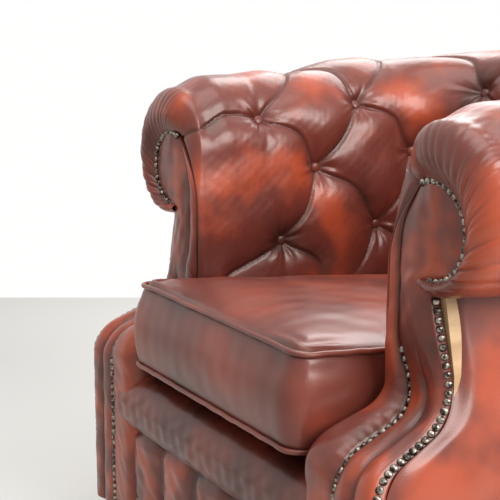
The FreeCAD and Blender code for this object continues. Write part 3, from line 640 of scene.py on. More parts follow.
class Workshop:
    """Materials of the chair, and the way a piece is dressed and reported."""

    def __init__(self) -> None:
        """Make each material once."""
        finishes = {
            "hide": Hide(),
            "seat_hide": Hide("seat_hide", (0.060, 0.017, 0.012), (0.145, 0.032, 0.022),
                              (0.300, 0.054, 0.026), rub_high=0.82, patch=6.0),
            "cord_hide": Hide("cord_hide", middle=(0.14, 0.034, 0.024), bright=(0.22, 0.050, 0.032)),
            "facing_hide": Hide("facing_hide", patch=11.0),
            # Darker copy of the hide for the seat's front lip: painted shade on a face turned from the
            # light.
            "lip_hide": Hide("lip_hide", middle=(0.070, 0.015, 0.011), bright=(0.18, 0.032, 0.016)),
            "timber": Wood("timber", (0.56, 0.38, 0.21), (0.36, 0.21, 0.10),
                           (1.0, 0.15, 1.0), 0.55, 0.0),
            "foot_wood": Wood("foot_wood", (0.075, 0.028, 0.014), (0.018, 0.008, 0.006),
                              (1.0, 1.0, 0.12), 0.18, 0.7),
            "nail_metal": Metal("nail_metal", (0.34, 0.29, 0.24), (0.035, 0.030, 0.027), 0.26),
            "spring_steel": Metal("spring_steel", (0.42, 0.42, 0.43), (0.20, 0.19, 0.18), 0.30),
            "hessian": Cloth("hessian", (0.52, 0.38, 0.20), (0.14, 0.09, 0.04), 0.0035),
            "dust_cloth": Cloth("dust_cloth", (0.030, 0.030, 0.032), (0.012, 0.012, 0.013),
                                0.0015),
            "deck_cloth": Cloth("deck_cloth", (0.085, 0.035, 0.026), (0.030, 0.014, 0.011),
                                0.0012),
            "plastic": Plastic("plastic", (0.030, 0.024, 0.022)),
        }
        self.materials = {name: finish.material() for name, finish in finishes.items()}
        self.pieces = 0

    def dress(self, piece: bpy.types.Object, finish: str, body: str,
              nodes: Sequence[str] = ()) -> None:
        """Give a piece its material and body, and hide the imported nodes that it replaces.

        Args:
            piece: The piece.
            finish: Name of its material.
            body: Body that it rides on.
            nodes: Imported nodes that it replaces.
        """
        piece.data.materials.clear()
        piece.data.materials.append(self.materials[finish])
        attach(piece, body)
        if nodes:
            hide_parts(*nodes)
        self.pieces += 1
        LOG.info("%s: %d points", piece.name, len(piece.data.vertices))


@dataclass(frozen=True)
class CoveredButton:
    """Leather-covered button: a domed crown over a tucked rim."""

    radius: float
    height: float
    rings: int = 9
    sides: int = 28
    swing: float = math.radians(118)

    def points(self, rng: np.random.Generator) -> Array:
        """Points of one button that faces +Z: rings from the crown to the rim, then the crown.

        Args:
            rng: Random numbers for its creases.

        Returns:
            The points.
        """
        turn = np.linspace(0, 2 * math.pi, self.sides, endpoint=False)
        crease = (0.00018 * np.sin(9 * turn + rng.uniform(0, 6))
                  + 0.00012 * np.sin(14 * turn + rng.uniform(0, 6)))
        points = []
        for ring in range(self.rings):
            swing = (ring + 1) / self.rings * self.swing
            out = self.radius * min(1.0, math.sin(min(swing, math.pi / 2)) ** 0.8)
            out -= 0.0008 if swing > 1.8 else 0
            past = swing - math.pi / 2
            level = self.height * math.cos(swing) if past < 0 else -0.005 * past
            wave = 1 + crease / self.radius * (ring / self.rings) * 2.0
            points.append(np.stack([out * np.cos(turn) * wave, out * np.sin(turn) * wave,
                                    np.full(self.sides, level)], -1))
        return np.concatenate(points + [np.array([[0.0, 0.0, self.height]])])

    def faces(self, start: int) -> list[Sequence[int]]:
        """Faces of one button.

        Args:
            start: Number of its first point.

        Returns:
            The faces.
        """
        crown = start + self.rings * self.sides
        return (grid_faces(self.rings, self.sides, wrap=True, flip=True, start=start)
                + [(crown, start + side, start + (side + 1) % self.sides)
                   for side in range(self.sides)])

    def piece(self, name: str,
              placings: Sequence[tuple[Array, Array, np.random.Generator]]) -> bpy.types.Object:
        """One piece of several buttons.

        Args:
            name: Name of the piece.
            placings: Centre, turn and random numbers of each button.

        Returns:
            The new object.
        """
        caps = [self.points(rng) @ turn.T + centre for centre, turn, rng in placings]
        faces = [face for number, cap in enumerate(caps) for face in self.faces(number * len(cap))]
        # Painted shade: darker from the crown out to the rim that sits in its pit.
        shade = np.append(np.linspace(0.5, 1.0, self.rings).repeat(self.sides), 0.5)
        hollow = np.tile(shade, len(caps))
        return make_mesh(name, np.concatenate(caps), faces, {"hollow": hollow, "crease": hollow * 0.3})


@dataclass(frozen=True)
class DomedNail:
    """Domed nail head, and how such nails are set in a row."""

    radius: float = 0.0053
    height: float = 0.0034
    pitch: float = 0.0118
    rings: int = 5
    sides: int = 14
    skirt: float = 0.0012
    tilt: float = 0.045

    def row(self, path: Array, normals: Array, seed: int, closer: float = 1.0) -> tuple[Array, Array]:
        """Places at the pitch along a path, a little uneven as set by hand.

        Args:
            path: Points along the row.
            normals: Normal at each point, or one for all.
            seed: Seed of the unevenness.
            closer: Factor on the pitch.

        Returns:
            Places and unit normals.
        """
        pitch = self.pitch * closer
        normals = np.broadcast_to(normals, path.shape)
        rng = np.random.default_rng(seed)
        length = np.concatenate([[0], np.cumsum(np.linalg.norm(np.diff(path, axis=0), axis=1))])
        count = max(2, round(length[-1] / pitch))
        marks = (np.arange(count) + 0.5) * length[-1] / count + rng.normal(0, pitch * 0.025, count)
        places, faces = (np.stack([np.interp(marks, length, line[:, axis]) for axis in range(3)], -1)
                         for line in (path, normals))
        return places, faces / np.linalg.norm(faces, axis=1, keepdims=True)

    def heads(self, name: str, places: Array, normals: Array, seed: int) -> bpy.types.Object:
        """Nail heads in one mesh.

        Args:
            name: Name of the piece.
            places: Middle of each head, on the leather.
            normals: Way that each head faces.
            seed: Seed of the small differences from nail to nail.

        Returns:
            The new object.
        """
        rng = np.random.default_rng(seed)
        turn = np.linspace(0, 2 * math.pi, self.sides, endpoint=False)
        points, faces = [], []
        for number, (place, normal) in enumerate(zip(places, normals)):
            axis = normal + rng.normal(0, self.tilt, 3)
            matrix = np.array(Vector(axis).to_track_quat("Z", "Y").to_matrix())
            head = []
            for ring in range(self.rings):
                swing = (ring + 1) / self.rings * math.pi / 2
                head.append(np.stack([self.radius * math.sin(swing) * np.cos(turn),
                                      self.radius * math.sin(swing) * np.sin(turn),
                                      np.full(self.sides, self.height * math.cos(swing))], -1))
            rim = head[-1].copy()
            rim[:, 2] = -self.skirt
            cap = np.concatenate(head + [rim, np.array([[0, 0, self.height]])])
            start = number * len(cap)
            crown = start + len(cap) - 1
            proud = 0.0004 + rng.uniform(-1, 1) * 0.0002
            points.append(cap @ matrix.T + place + normal * proud)
            faces += grid_faces(self.rings + 1, self.sides, wrap=True, flip=True, start=start)
            faces += [(crown, start + k, start + (k + 1) % self.sides) for k in range(self.sides)]
        return make_mesh(name, np.concatenate(points), faces)


@dataclass
class TuftedLeather:
    """The buttoned leather of the arms, corners and back, in one run, with its gathered ends."""

    sizes: Sizes = SIZES
    button: CoveredButton = CoveredButton(0.0108, 0.0068)
    button_rows: int = 4
    columns_to_corner: int = 3
    columns_to_middle: int = 6
    row_below: float = 0.080
    lowest_row: float = 0.034
    middle_row: float = 0.153
    roll_turns: tuple[int, ...] = (26, 97, 180, 232, 268)
    last_row: float = 5.9
    fold_depth: float = 0.0115
    fold_width: float = 0.060
    fold_fullness: float = 0.60
    crease_width: float = 0.0020
    pit_depth: float = 0.0115
    pit_width: float = 0.017
    cell_across: float = 0.158
    side_pitch: float = 0.1055
    roll_pitch: float = 0.125
    set_back: float = 0.021
    lean_out: float = 0.014
    seam_turn: int = 23
    bulge_rising: float = 0.13
    bulge_falling: float = 0.07
    crown_drop: float = 0.0020
    low_edge: float = 0.350
    cap_rings: int = 14
    step: float = 0.0030
    row_marks: Array = field(init=False)
    up_marks: Array = field(init=False)
    column_marks: Array = field(init=False)
    along_marks: Array = field(init=False)

    def __post_init__(self) -> None:
        """Work out the places of the columns and rows."""
        s = self.sizes
        marks = [s.seat_height + rise for rise in (-self.row_below, self.lowest_row, self.middle_row)]
        marks += [s.roll_centre + s.roll_radius * math.radians(turn) for turn in self.roll_turns]
        self.row_marks = np.array([-1, 0, 1, 2, 3, 4, 5, self.last_row], float)
        self.up_marks = np.array(marks)
        pitch = (s.corner_start - s.first_column) / self.columns_to_corner
        self.column_marks = np.array([-3, 0, self.columns_to_corner, self.columns_to_middle], float)
        self.along_marks = np.array([s.first_column - 3 * pitch, s.first_column,
                                     s.corner_start, s.path_middle])
        self.along_marks[:3] += self.set_back

    def lean(self, column: Array, row: Array) -> Array:
        """How far the lower buttons stand back from the upper ones, in columns."""
        shift = np.interp(row, [-1, 0, 1, 2, 3], [0.26, 0.26, 0.0, -0.07, 0.0])
        return shift * np.clip((4.2 - column) / 1.5, 0, 1)

    def lattice(self, along: Array, up: Array) -> tuple[Array, Array]:
        """Button column and row of a place.

        Args:
            along: Distance along the seat.
            up: Distance up the face and over the roll.

        Returns:
            Columns and rows; whole numbers hold buttons.
        """
        row = np.interp(up, self.up_marks, self.row_marks)
        plain = np.interp(along, self.along_marks, self.column_marks)
        return plain - self.lean(plain, row), row

    def button_place(self, column: int, row: int) -> tuple[float, float]:
        """Place of a button.

        Args:
            column: Its column, from the arm front.
            row: Its row, from the seat.

        Returns:
            Distance along the seat and distance up.
        """
        plain = float(column)
        for _ in range(6):
            plain = column + float(self.lean(np.array(plain), np.array(float(row))))
        return (float(np.interp(plain, self.column_marks, self.along_marks)),
                float(np.interp(row, self.row_marks, self.up_marks)))

    def buttons(self) -> list[tuple[int, int, float, float]]:
        """Buttons of the left half and the middle.

        Returns:
            Column, row, distance along and distance up of each.
        """
        return [(column, row, *self.button_place(column, row))
                for column in range(self.columns_to_middle + 1)
                for row in range(self.button_rows) if (column + row) % 2 == 0]

    def roll(self, along: Array) -> tuple[Array, Array, Array]:
        """Size and place of the roll.

        Args:
            along: Distance along the seat.

        Returns:
            Radius, centre from the inside face, and height of the centre.
        """
        s = self.sizes
        ease = smooth(s.leather_start, s.leather_start + s.end_gather, along)
        climb = np.clip((along - s.first_column) / (s.path_middle - s.first_column), 0, None)
        radius = s.end_radius + (s.roll_radius - s.end_radius) * ease
        out = s.end_out + (s.roll_radius - s.end_out) * ease
        height = s.end_height + (s.roll_centre - s.end_height) * ease + s.back_rise * climb
        return radius, out, height

    def base(self, along: Array, up: Array) -> tuple[Array, Array]:
        """Crown of the leather and its outward normal.

        Args:
            along: Distance along the seat.
            up: Distance up the face and over the roll.

        Returns:
            Points and normals.
        """
        s = self.sizes
        radius, out, height = self.roll(along)
        turn = np.clip((along - s.corner_start) / s.corner_radius, 0, math.pi / 2)
        past = np.clip(along - s.corner_start - s.corner_radius * math.pi / 2, 0, None)
        away = np.stack([np.cos(turn), np.sin(turn), np.zeros_like(turn)], -1)
        point = np.stack([s.corner_x + s.corner_radius * np.cos(turn) - past,
                          s.front + np.minimum(along, s.corner_start) + s.corner_radius * np.sin(turn),
                          np.zeros_like(turn)], -1)
        angle = np.clip((up - s.roll_centre) / s.roll_radius, 0, None)
        share = (up - s.pad_foot) / (s.roll_centre - s.pad_foot)
        level = np.where(up <= s.roll_centre, s.pad_foot + share * (height - s.pad_foot),
                         height + radius * np.sin(angle))
        across = out - radius * np.cos(angle)
        across = across - 0.65 * (out - radius) * smooth(0.74, 0.62, up)
        across = across + self.lean_out * smooth(0.57, 0.75, up) * smooth(0.90, 0.78, up)
        points = point + away * across[..., None]
        points[..., 2] = level
        normals = away * -np.cos(angle)[..., None]
        normals[..., 2] = np.sin(angle)
        return points, normals

    def folds(self, along: Array, up: Array) -> list[tuple[Array, Array]]:
        """Distance to each family of folds, signed, and how strong the fold is there.

        Args:
            along: Distance along the seat.
            up: Distance up the face and over the roll.

        Returns:
            Pairs of distance in metres and strength of 0 to 1.
        """
        column, row = self.lattice(along, up)
        rising, falling = (column + row) / 2, (column - row) / 2
        steady = smooth(self.columns_to_middle, self.columns_to_middle - 1, column)
        rising_line = rising - self.bulge_rising * np.sin(math.pi * falling) ** 2 * steady
        falling_line = falling - self.bulge_falling * np.sin(math.pi * rising) ** 2 * steady
        inside = smooth(-0.16, 0.04, column) * smooth(-0.9, -0.2, row) * smooth(3.35, 3.0, row)
        ahead = np.clip(-column, 0, None)
        upper = 2.0 - 0.055 * ahead / 1.2 + 0.11 * np.sin(np.clip(ahead / 1.2, 0, 1) * math.pi)
        lower = -0.42 * (ahead / 1.15)
        forward = smooth(0.06, -0.14, column) * smooth(-1.35, -1.0, column)
        side_fold = (column - 2 * np.round((column - 1) / 2) - 1) * self.side_pitch
        return [((rising_line - np.round(rising_line)) * self.cell_across, inside),
                ((falling_line - np.round(falling_line)) * self.cell_across, inside),
                (side_fold, smooth(3.0, 3.3, row) * smooth(self.last_row + 0.4, 4.6, row)
                 * smooth(0.4, 0.9, column)),
                ((row - upper) * self.roll_pitch, forward),
                ((row - lower) * self.roll_pitch, forward)]

    def snapped(self, along: Array, up: Array) -> tuple[Array, Array]:
        """Grid of places with the nearest lines moved onto the folds, so that each fold is crisp.

        Args:
            along: Distance along the seat.
            up: Distance up the face and over the roll.

        Returns:
            The moved distances along and up.
        """
        probe = 1e-4
        for number in range(len(self.folds(along[:1, :1], up[:1, :1]))):
            here, strength = self.folds(along, up)[number]
            by_along = self.folds(along + probe, up)[number][0]
            by_up = self.folds(along, up + probe)[number][0]
            slope_along, slope_up = (by_along - here) / probe, (by_up - here) / probe
            steep = slope_along ** 2 + slope_up ** 2
            move = here / np.maximum(steep, 0.05)
            reach = self.step * 0.49 * np.sqrt(np.clip(steep, 0.1, 9))
            near = (np.abs(here) < reach) & (strength > 0.25) & (steep < 9) & (steep > 0.1)
            along = np.where(near, along - move * slope_along, along)
            up = np.where(near, up - move * slope_up, up)
        return along, up

    def shape(self, along: Array, up: Array) -> tuple[Array, Array, Array]:
        """How far the leather lies under its crown, with its hollow and crease, which the shader turns
        into painted shade.

        Args:
            along: Distance along the seat.
            up: Distance up the face and over the roll.

        Returns:
            Depth in metres, hollow of 0 to 1 and crease of 0 to 1.
        """
        pillow = np.ones_like(along)
        crease = np.zeros_like(along)
        pinch = np.zeros_like(along)
        for distance, strength in self.folds(along, up):
            near = np.abs(distance)
            full = np.sin(math.pi / 2 * np.minimum(1, near / self.fold_width)) ** self.fold_fullness
            pillow *= 1 - strength * (1 - full)
            # Painted shade: a dark crease line along each fold.
            crease = np.maximum(crease, strength * np.exp(-(near / self.crease_width) ** 1.5))
            lip = np.exp(-((distance - 0.006) / 0.0045) ** 2)
            pinch += strength * (0.0012 * np.exp(-(near / 0.003) ** 2) - 0.0009 * lip)
        depth = self.fold_depth * (1 - pillow) + pinch
        # Painted shade: the hollow value darkens the leather in the fold valleys.
        hollow = 1 - pillow
        for column, row, place, height in self.buttons():
            across, over = along - place, up - height
            away = np.hypot(across, over)
            close = away < 0.09
            angle = np.arctan2(over, across)[close]
            reach = away[close]
            rng = np.random.default_rng(100 + 10 * column + row)
            pleats = np.zeros_like(reach)
            for count in (7, 11, 16):
                pleats += np.sin(count * angle + rng.uniform(0, 6.28) + 30 * reach) / count * 7
            fade = np.exp(-((reach - 0.016) / 0.024) ** 2) * np.minimum(1, reach / 0.012)
            pit = np.exp(-(reach / self.pit_width) ** 1.6)
            depth[close] += self.pit_depth * pit + 0.0012 * pleats * fade
            depth[close] += 0.0035 * np.exp(-(reach / 0.042) ** 2)
            # Painted shade in and round each button's pit.
            hollow[close] = np.maximum(hollow[close], np.exp(-(reach / 0.030) ** 2))
            crease[close] = np.maximum(crease[close], 0.9 * np.exp(-(reach / 0.0135) ** 4))
        depth += 0.0008 * wander(5, 0.26, along, up) + 0.00015 * wander(6, 0.045, along, up)
        depth -= self.crown_drop
        return depth * smooth(0.118, 0.172, along), hollow, crease

    def end_target(self, up: Array) -> Array:
        """Line on the arm front where the leather's end is nailed or sewn.

        Args:
            up: Distance up the face and over the roll.

        Returns:
            X and Z of the line.
        """
        s = self.sizes
        turn = np.degrees(np.clip((up - s.roll_centre) / s.roll_radius, 0, None))
        seam_end = s.roll_centre + s.roll_radius * math.radians(self.seam_turn)
        share = np.clip((up - s.seam_bend) / (seam_end - s.seam_bend), 0, 1)
        seam_x = s.seam_x + s.seam_swing * share ** 1.7
        seam_z = np.where(up < s.seam_bend, up, s.seam_bend + s.seam_rise * share)
        nailed_turn = self.roll_turns[-1] - self.seam_turn
        head = np.radians(116 - np.clip((turn - self.seam_turn) / nailed_turn, 0, 1.2) * 214)
        circle = s.nail_circle - 0.002
        nail_x, nail_z = s.scroll_x + circle * np.cos(head), s.scroll_z + circle * np.sin(head)
        nailed = turn > self.seam_turn
        return np.stack([np.where(nailed, nail_x, seam_x), np.where(nailed, nail_z, seam_z)], -1)

    def end_cap(self, up: Array, rim: Array, rim_hollow: Array) -> tuple[Array, Array, Array]:
        """Gathered end of the leather, from the roll's rim to the nails on the arm front.

        Args:
            up: Distance up the face of each row.
            rim: Points that the end starts from.
            rim_hollow: Hollow of those points.

        Returns:
            Points as rings by rows by 3, front first, with their hollow and crease.
        """
        s = self.sizes
        target = self.end_target(up)
        turn = (up - s.roll_centre) / s.roll_radius
        seam = math.radians(self.seam_turn)
        gathers = smooth(math.radians(45), math.radians(85), turn)
        puff = smooth(seam, math.radians(70), turn)
        notch = np.exp(-((turn - seam) / 0.030) ** 2)
        full_swing = math.pi / 2 * (1 + 0.44 * puff)
        points, hollows, creases = [], [], []
        for ring in range(self.cap_rings):
            share = 1 - ring / self.cap_rings
            inward = (1 - np.cos(share * full_swing)) / (1 - np.cos(full_swing))
            forward = (0.018 + 0.018 * puff) * np.sin(share * full_swing)
            tuck = 0.0087 * puff * smooth(0.6, 1.0, share)
            tuck = tuck + 0.008 * (1 - puff) * smooth(0.8, 1.0, share)
            x = rim[:, 0] + (target[:, 0] - rim[:, 0]) * inward
            z = rim[:, 2] + (target[:, 1] - rim[:, 2]) * inward
            pleat, dark = self.pleats(turn, share)
            tuck = tuck + 0.010 * smooth(math.radians(262), math.radians(282), turn) * share
            y = rim[:, 1] - forward + tuck + pleat * gathers + 0.003 * notch * smooth(0.0, 0.3, share)
            points.append(np.stack([x, y, z], -1))
            # Painted shade: darker towards the nails and in the gathers, with dark lines along the
            # gathers' valleys and the seam notch.
            edge = 0.5 * smooth(0.5, 1.0, share)
            hollows.append(np.clip(rim_hollow * (1 - share) + edge + 0.35 * gathers * share, 0, 1))
            creases.append(np.maximum(dark * gathers, notch))
        return np.array(points), np.array(hollows), np.array(creases)

    def pleats(self, turn: Array, share: float) -> tuple[Array, Array]:
        """Depth and crease of the gathers round the arm's scroll.

        Args:
            turn: Turn round the roll.
            share: 0 at the roll's rim, 1 at the nails.

        Returns:
            Depth in metres and crease of 0 to 1.
        """
        phase = 9.5 * turn + 1.1 * np.sin(2.3 * turn + 1.0) + 0.7 * np.sin(5.1 * turn)
        wave = np.abs(np.sin(phase))
        fine = np.abs(np.sin(2.0 * phase + 0.8))
        strong = 0.55 + 0.45 * np.sin(1.7 * turn + 2.4)
        depth = (0.0062 * strong * (1 - wave ** 0.55) + 0.0022 * (1 - fine ** 0.6)) * share ** 0.7
        # Painted shade for the valleys between the gathers.
        dark = np.clip(1 - wave / 0.30, 0, 1) * strong * smooth(0.15, 0.9, share)
        return depth, dark

    def run(self) -> bpy.types.Object:
        """The leather as one mesh, left arm to right arm.

        Returns:
            The new object.
        """
        s = self.sizes
        start = s.leather_start
        top = s.roll_centre + s.roll_radius * math.radians(self.roll_turns[-1] + 16)
        along = np.linspace(start, s.path_middle, int((s.path_middle - start) / self.step) + 1)
        up = np.linspace(self.low_edge, top, int((top - self.low_edge) / self.step) + 1)
        places, heights = np.meshgrid(along, up, indexing="ij")
        inner = (slice(1, -1), slice(1, -1))
        moved_along, moved_up = self.snapped(places, heights)
        places[inner], heights[inner] = moved_along[inner], moved_up[inner]
        points, normals = self.base(places, heights)
        depth, hollow, crease = self.shape(places, heights)
        turn = np.clip((heights - s.roll_centre) / s.roll_radius, 0, None)
        near_end = smooth(start + 0.050, start, places)
        near_end = near_end * smooth(math.radians(45), math.radians(85), turn)
        wave = self.pleats(turn, 1.0)[0]
        points -= normals * (depth + 0.55 * wave * near_end ** 1.5)[..., None]
        cap, shade, dark = self.end_cap(up, points[0], hollow[0])
        # The hollow and crease values carry painted shade to the shader.
        layers = {"hollow": both_halves(np.concatenate([shade, hollow])),
                  "crease": both_halves(np.concatenate([dark, crease]))}
        return grid_mesh("inside_leather", both_halves(np.concatenate([cap, points])), layers)

    def buttons_piece(self) -> bpy.types.Object:
        """Leather-covered buttons in their pits.

        Returns:
            The new object.
        """
        placings = []
        for column, row, place, rise in self.buttons():
            here = np.array([place]), np.array([rise])
            base, normal = self.base(*here)
            depth = float(self.shape(*here)[0][0])
            rng = np.random.default_rng(300 + 10 * column + row)
            for side in (Side if column < self.columns_to_middle else (Side.LEFT,)):
                centre = mirrored(base[0] - normal[0] * (depth - 0.0030), side)
                axis = Vector(mirrored(normal[0], side))
                placings.append((centre, np.array(axis.to_track_quat("Z", "Y").to_matrix()), rng))
        return self.button.piece("tuft_buttons", placings)

    def build(self, shop: Workshop) -> None:
        """Build and dress the leather and its buttons.

        Args:
            shop: Workshop that makes the materials and dresses the pieces.
        """
        nodes = [side.node(part) for part in ("inside_arm", "inside_corner") for side in Side]
        shop.dress(self.run(), "hide", "chair", nodes + ["inside_back"])
        shop.dress(self.buttons_piece(), "hide", "chair", ["inside_buttons"])


@dataclass
class ArmFront:
    """Front of one arm: the inner band, the padded facing with its round head, and three nail rows."""

    side: Side
    sizes: Sizes = SIZES
    nail: DomedNail = DomedNail()
    front_curve: float = 0.065
    neck_curve: float = 0.075
    curve_drop: float = 0.165
    slope: float = math.radians(25)
    front_top: float = 0.7537
    facing_inner_low: float = 0.352
    facing_inner_neck: float = 0.303
    facing_outer_low: float = 0.437
    neck_out: float = 0.366
    head_join: float = 0.7475
    draw_drop: float = 0.120
    draw_length: float = 0.150
    facing_columns: int = 44
    facing_side: float = 0.0155
    side_columns: int = 7
    band_columns: int = 46
    pucker_pitch: float = 0.0165
    inner_nails_top: float = 0.53
    step: float = 0.0035
    back: Array = field(init=False)
    height: Array = field(init=False)
    turn: Array = field(init=False)

    def __post_init__(self) -> None:
        """Trace the arm's S curve from the floor to the head."""
        self.back, self.height, self.turn = self.trace(self.step)

    def trace(self, step: float) -> tuple[Array, Array, Array]:
        """Points up the arm front at a step.

        Args:
            step: Distance between points.

        Returns:
            Distance behind the front, height and turn of the outward normal.
        """
        s = self.sizes
        low = s.seat_height - self.curve_drop
        runs = [[(0.0, z, math.pi) for z in np.arange(s.foot_height + 0.002, low, step)]]
        arc = math.pi / 2 - self.slope
        count = int(self.front_curve * arc / step)
        runs.append([(self.front_curve * (1 + math.cos(math.pi - arc * k / count)),
                      low + self.front_curve * math.sin(math.pi - arc * k / count),
                      math.pi - arc * k / count) for k in range(count + 1)])
        back, height, turn = runs[-1][-1]
        run = s.neck_setback - (self.front_curve + self.neck_curve) * (1 - math.sin(self.slope))
        count = max(2, int(run / step))
        runs.append([(back + run * k / count, height + run * math.tan(self.slope) * k / count, turn)
                     for k in range(1, count)])
        back, height = back + run, height + run * math.tan(self.slope)
        middle = (back - self.neck_curve * math.sin(self.slope),
                  height + self.neck_curve * math.cos(self.slope))
        count = int(self.neck_curve * arc / step)
        for k in range(count + 1):
            angle = math.pi / 2 + self.slope + arc * k / count
            runs.append([(middle[0] - self.neck_curve * math.cos(angle),
                          middle[1] - self.neck_curve * math.sin(angle), angle)])
        last = runs[-1][0][1]
        runs.append([(s.neck_setback, z, math.pi)
                     for z in np.arange(last + step, self.front_top, step)])
        back, height, turn = np.array([point for part in runs for point in part]).T
        return back, height, turn

    def drawn(self, height: Array, low: float, neck: float) -> Array:
        """Side place of an edge that draws in to the neck.

        Args:
            height: Heights up the arm front.
            low: X of the edge low down.
            neck: X of the edge at the neck.

        Returns:
            X of the edge at each height.
        """
        share = (height - self.sizes.seat_height + self.draw_drop) / self.draw_length
        share = np.clip(share, 0, 1)
        share = share * 0.6 + 0.4 * share * share * (3 - 2 * share)
        return low + (neck - low) * share

    def round_head(self, height: Array) -> Array:
        """Inner side of the nail circle near its top."""
        s = self.sizes
        return s.scroll_x - np.sqrt(np.maximum(s.nail_circle ** 2 - (height - s.scroll_z) ** 2, 0))

    def inner_edge(self, height: Array) -> Array:
        """Inner edge of the facing, curving out under the head.

        Args:
            height: Heights up the arm front.

        Returns:
            X of the edge at each height.
        """
        rise = np.clip((height - 0.655) / (self.head_join - 0.655), 0, 1)
        edge = self.drawn(height, self.facing_inner_low, self.facing_inner_neck) + 0.041 * rise ** 2
        return np.where(height > self.head_join, self.round_head(height), edge)

    def seam_edge(self, height: Array) -> Array:
        """Seam of the band with the inside leather.

        Args:
            height: Heights up the arm front.

        Returns:
            X of the seam at each height.
        """
        s = self.sizes
        rise = np.clip((height - s.seam_bend) / s.seam_rise, 0, 1)
        edge = self.drawn(height, s.seat_half + 0.001, s.seam_x) + s.seam_swing * rise ** 1.7
        return np.where(height > self.head_join, self.round_head(height) - 0.0005, edge)

    def outer_edge(self, height: Array) -> Array:
        """Outer edge of the facing: the side, the neck and the round head.

        Args:
            height: Heights up the arm front.

        Returns:
            X of the edge at each height.
        """
        s = self.sizes
        share = np.clip((height - s.bend_z) / (s.neck_z - s.bend_z), 0, 1)
        side = self.facing_outer_low + (self.neck_out - self.facing_outer_low) * share
        reach = np.sqrt(np.maximum((s.nail_circle + 0.002) ** 2 - (height - s.scroll_z) ** 2, 0))
        headed = smooth(s.neck_z + 0.006, s.neck_z + 0.036, height)
        return side + (s.scroll_x + reach - side) * headed

    def lay(self, across: Array, proud: Array) -> Array:
        """Points of the arm front.

        Args:
            across: X of each point, stations by points.
            proud: Distance before the arm's front line.

        Returns:
            Points, stations by points by 3.
        """
        turn, back, height = self.turn[:, None], self.back[:, None], self.height[:, None]
        dip = np.exp(-((height - 0.462) / 0.036) ** 2) * smooth(0.43, 0.34, across)
        proud = proud - 0.013 * dip
        y = self.sizes.front + back + np.cos(turn) * proud
        z = height + np.sin(turn) * proud
        return np.stack(np.broadcast_arrays(across, y, z), -1)

    def facing(self) -> bpy.types.Object:
        """Padded facing: two soft lobes with a crease between them low down, one pad at the head.

        Returns:
            The new object.
        """
        height = self.height[:, None]
        inner, outer = self.inner_edge(height), self.outer_edge(height)
        share = np.linspace(0, 1, self.facing_columns)[None]
        low = smooth(0.56, 0.44, height)
        crease_at = 0.50 + 0.03 * np.sin(height * 14)
        lobe = np.where(share < crease_at, share / crease_at, (share - crease_at) / (1 - crease_at))
        lobes = 0.0068 * np.sin(math.pi * np.clip(lobe, 0, 1)) ** 0.6
        single = 0.0060 * np.sin(math.pi * share) ** 0.7
        proud = lobes * low + single * (1 - low) - 0.0015
        proud = proud - smooth(0.90, 1.0, share) * 0.0065 * low
        proud = proud + 0.0006 * wander(11, 0.09, share * 0.09, height)
        down = np.linspace(0, 1, self.side_columns + 1)[None, 1:]
        side_across = outer + 0.0022 * np.sin(math.pi * np.minimum(1, down * 1.4)) * low
        side_proud = proud[:, -1:] - self.facing_side * down
        seam = share * (outer - inner)
        # Painted shade along the crease between the lobes and by the inner seam, where the facing
        # sinks, and evenly over its side strip.
        crease = np.exp(-((share - crease_at) * (outer - inner) / 0.0022) ** 2) * low
        crease = np.maximum(crease, np.exp(-(seam / 0.004) ** 2) * 0.7)
        hollow = np.clip(1 - proud / 0.005, 0, 1) * 0.7
        layers = {"hollow": np.concatenate([hollow, np.full(side_across.shape, 0.45)], 1),
                  "crease": np.concatenate([crease, np.full(side_across.shape, 0.1)], 1)}
        points = self.lay(np.concatenate([inner + seam, side_across], 1),
                          np.concatenate([proud, side_proud], 1))
        return grid_mesh(self.side.node("facing_leather"), mirrored(points, self.side), layers,
                         flip=self.side is Side.LEFT)

    def band(self) -> bpy.types.Object:
        """Stuffed band between the inside leather and the inner nails.

        Returns:
            The new object.
        """
        height = self.height[:, None]
        inner, outer = self.seam_edge(height), self.inner_edge(height)
        middle, half = (inner + outer) / 2, (outer - inner) / 2
        crest = 0.0025 + 0.0115 * smooth(0.345, 0.400, height) * smooth(0.60, 0.48, height)
        crest = crest * smooth(0.745, 0.700, height)
        depth = 0.016 + 0.045 * smooth(0.60, 0.47, height)
        swing = np.linspace(0, math.pi, self.band_columns)[None]
        rising = swing < math.pi / 2
        sideways = np.sign(np.cos(swing)) * np.abs(np.cos(swing)) ** np.where(rising, 0.62, 0.9)
        across = middle - half * sideways
        bow = np.sin(swing)
        proud = np.where(rising, -depth + (crest + depth) * bow ** 0.75,
                         -0.0025 + (crest + 0.0025) * bow ** 0.72)
        from_nails = np.maximum(outer - across, 0)
        pucker_zone = smooth(0.34, 0.38, height) * smooth(0.53, 0.47, height)
        steps = np.hypot(np.diff(self.back), np.diff(self.height))
        length = np.concatenate([[0], np.cumsum(steps)])[:, None]
        wave = np.abs(np.sin(math.pi * length / self.pucker_pitch + 0.9 * np.sin(length * 37)))
        pucker = (1 - wave ** 0.6) * np.exp(-(from_nails / 0.014) ** 1.5) * pucker_zone
        proud = proud - 0.0024 * pucker + 0.0005 * wander(21, 0.07, across, height)
        # Painted shade by the nails, in the puckers, at the seam, and where the band curves away at
        # both sides.
        crease = np.maximum(np.exp(-(from_nails / 0.004) ** 2) * 0.8, pucker * 0.5)
        crease = np.maximum(crease, np.exp(-((across - inner) / 0.003) ** 2) * 0.6)
        hollow = np.broadcast_to(np.clip(1 - bow, 0, 1) * 0.9, crease.shape)
        points = mirrored(self.lay(across, proud), self.side)
        return grid_mesh(self.side.node("band_leather"), points,
                         {"hollow": hollow, "crease": crease}, flip=self.side is Side.LEFT)

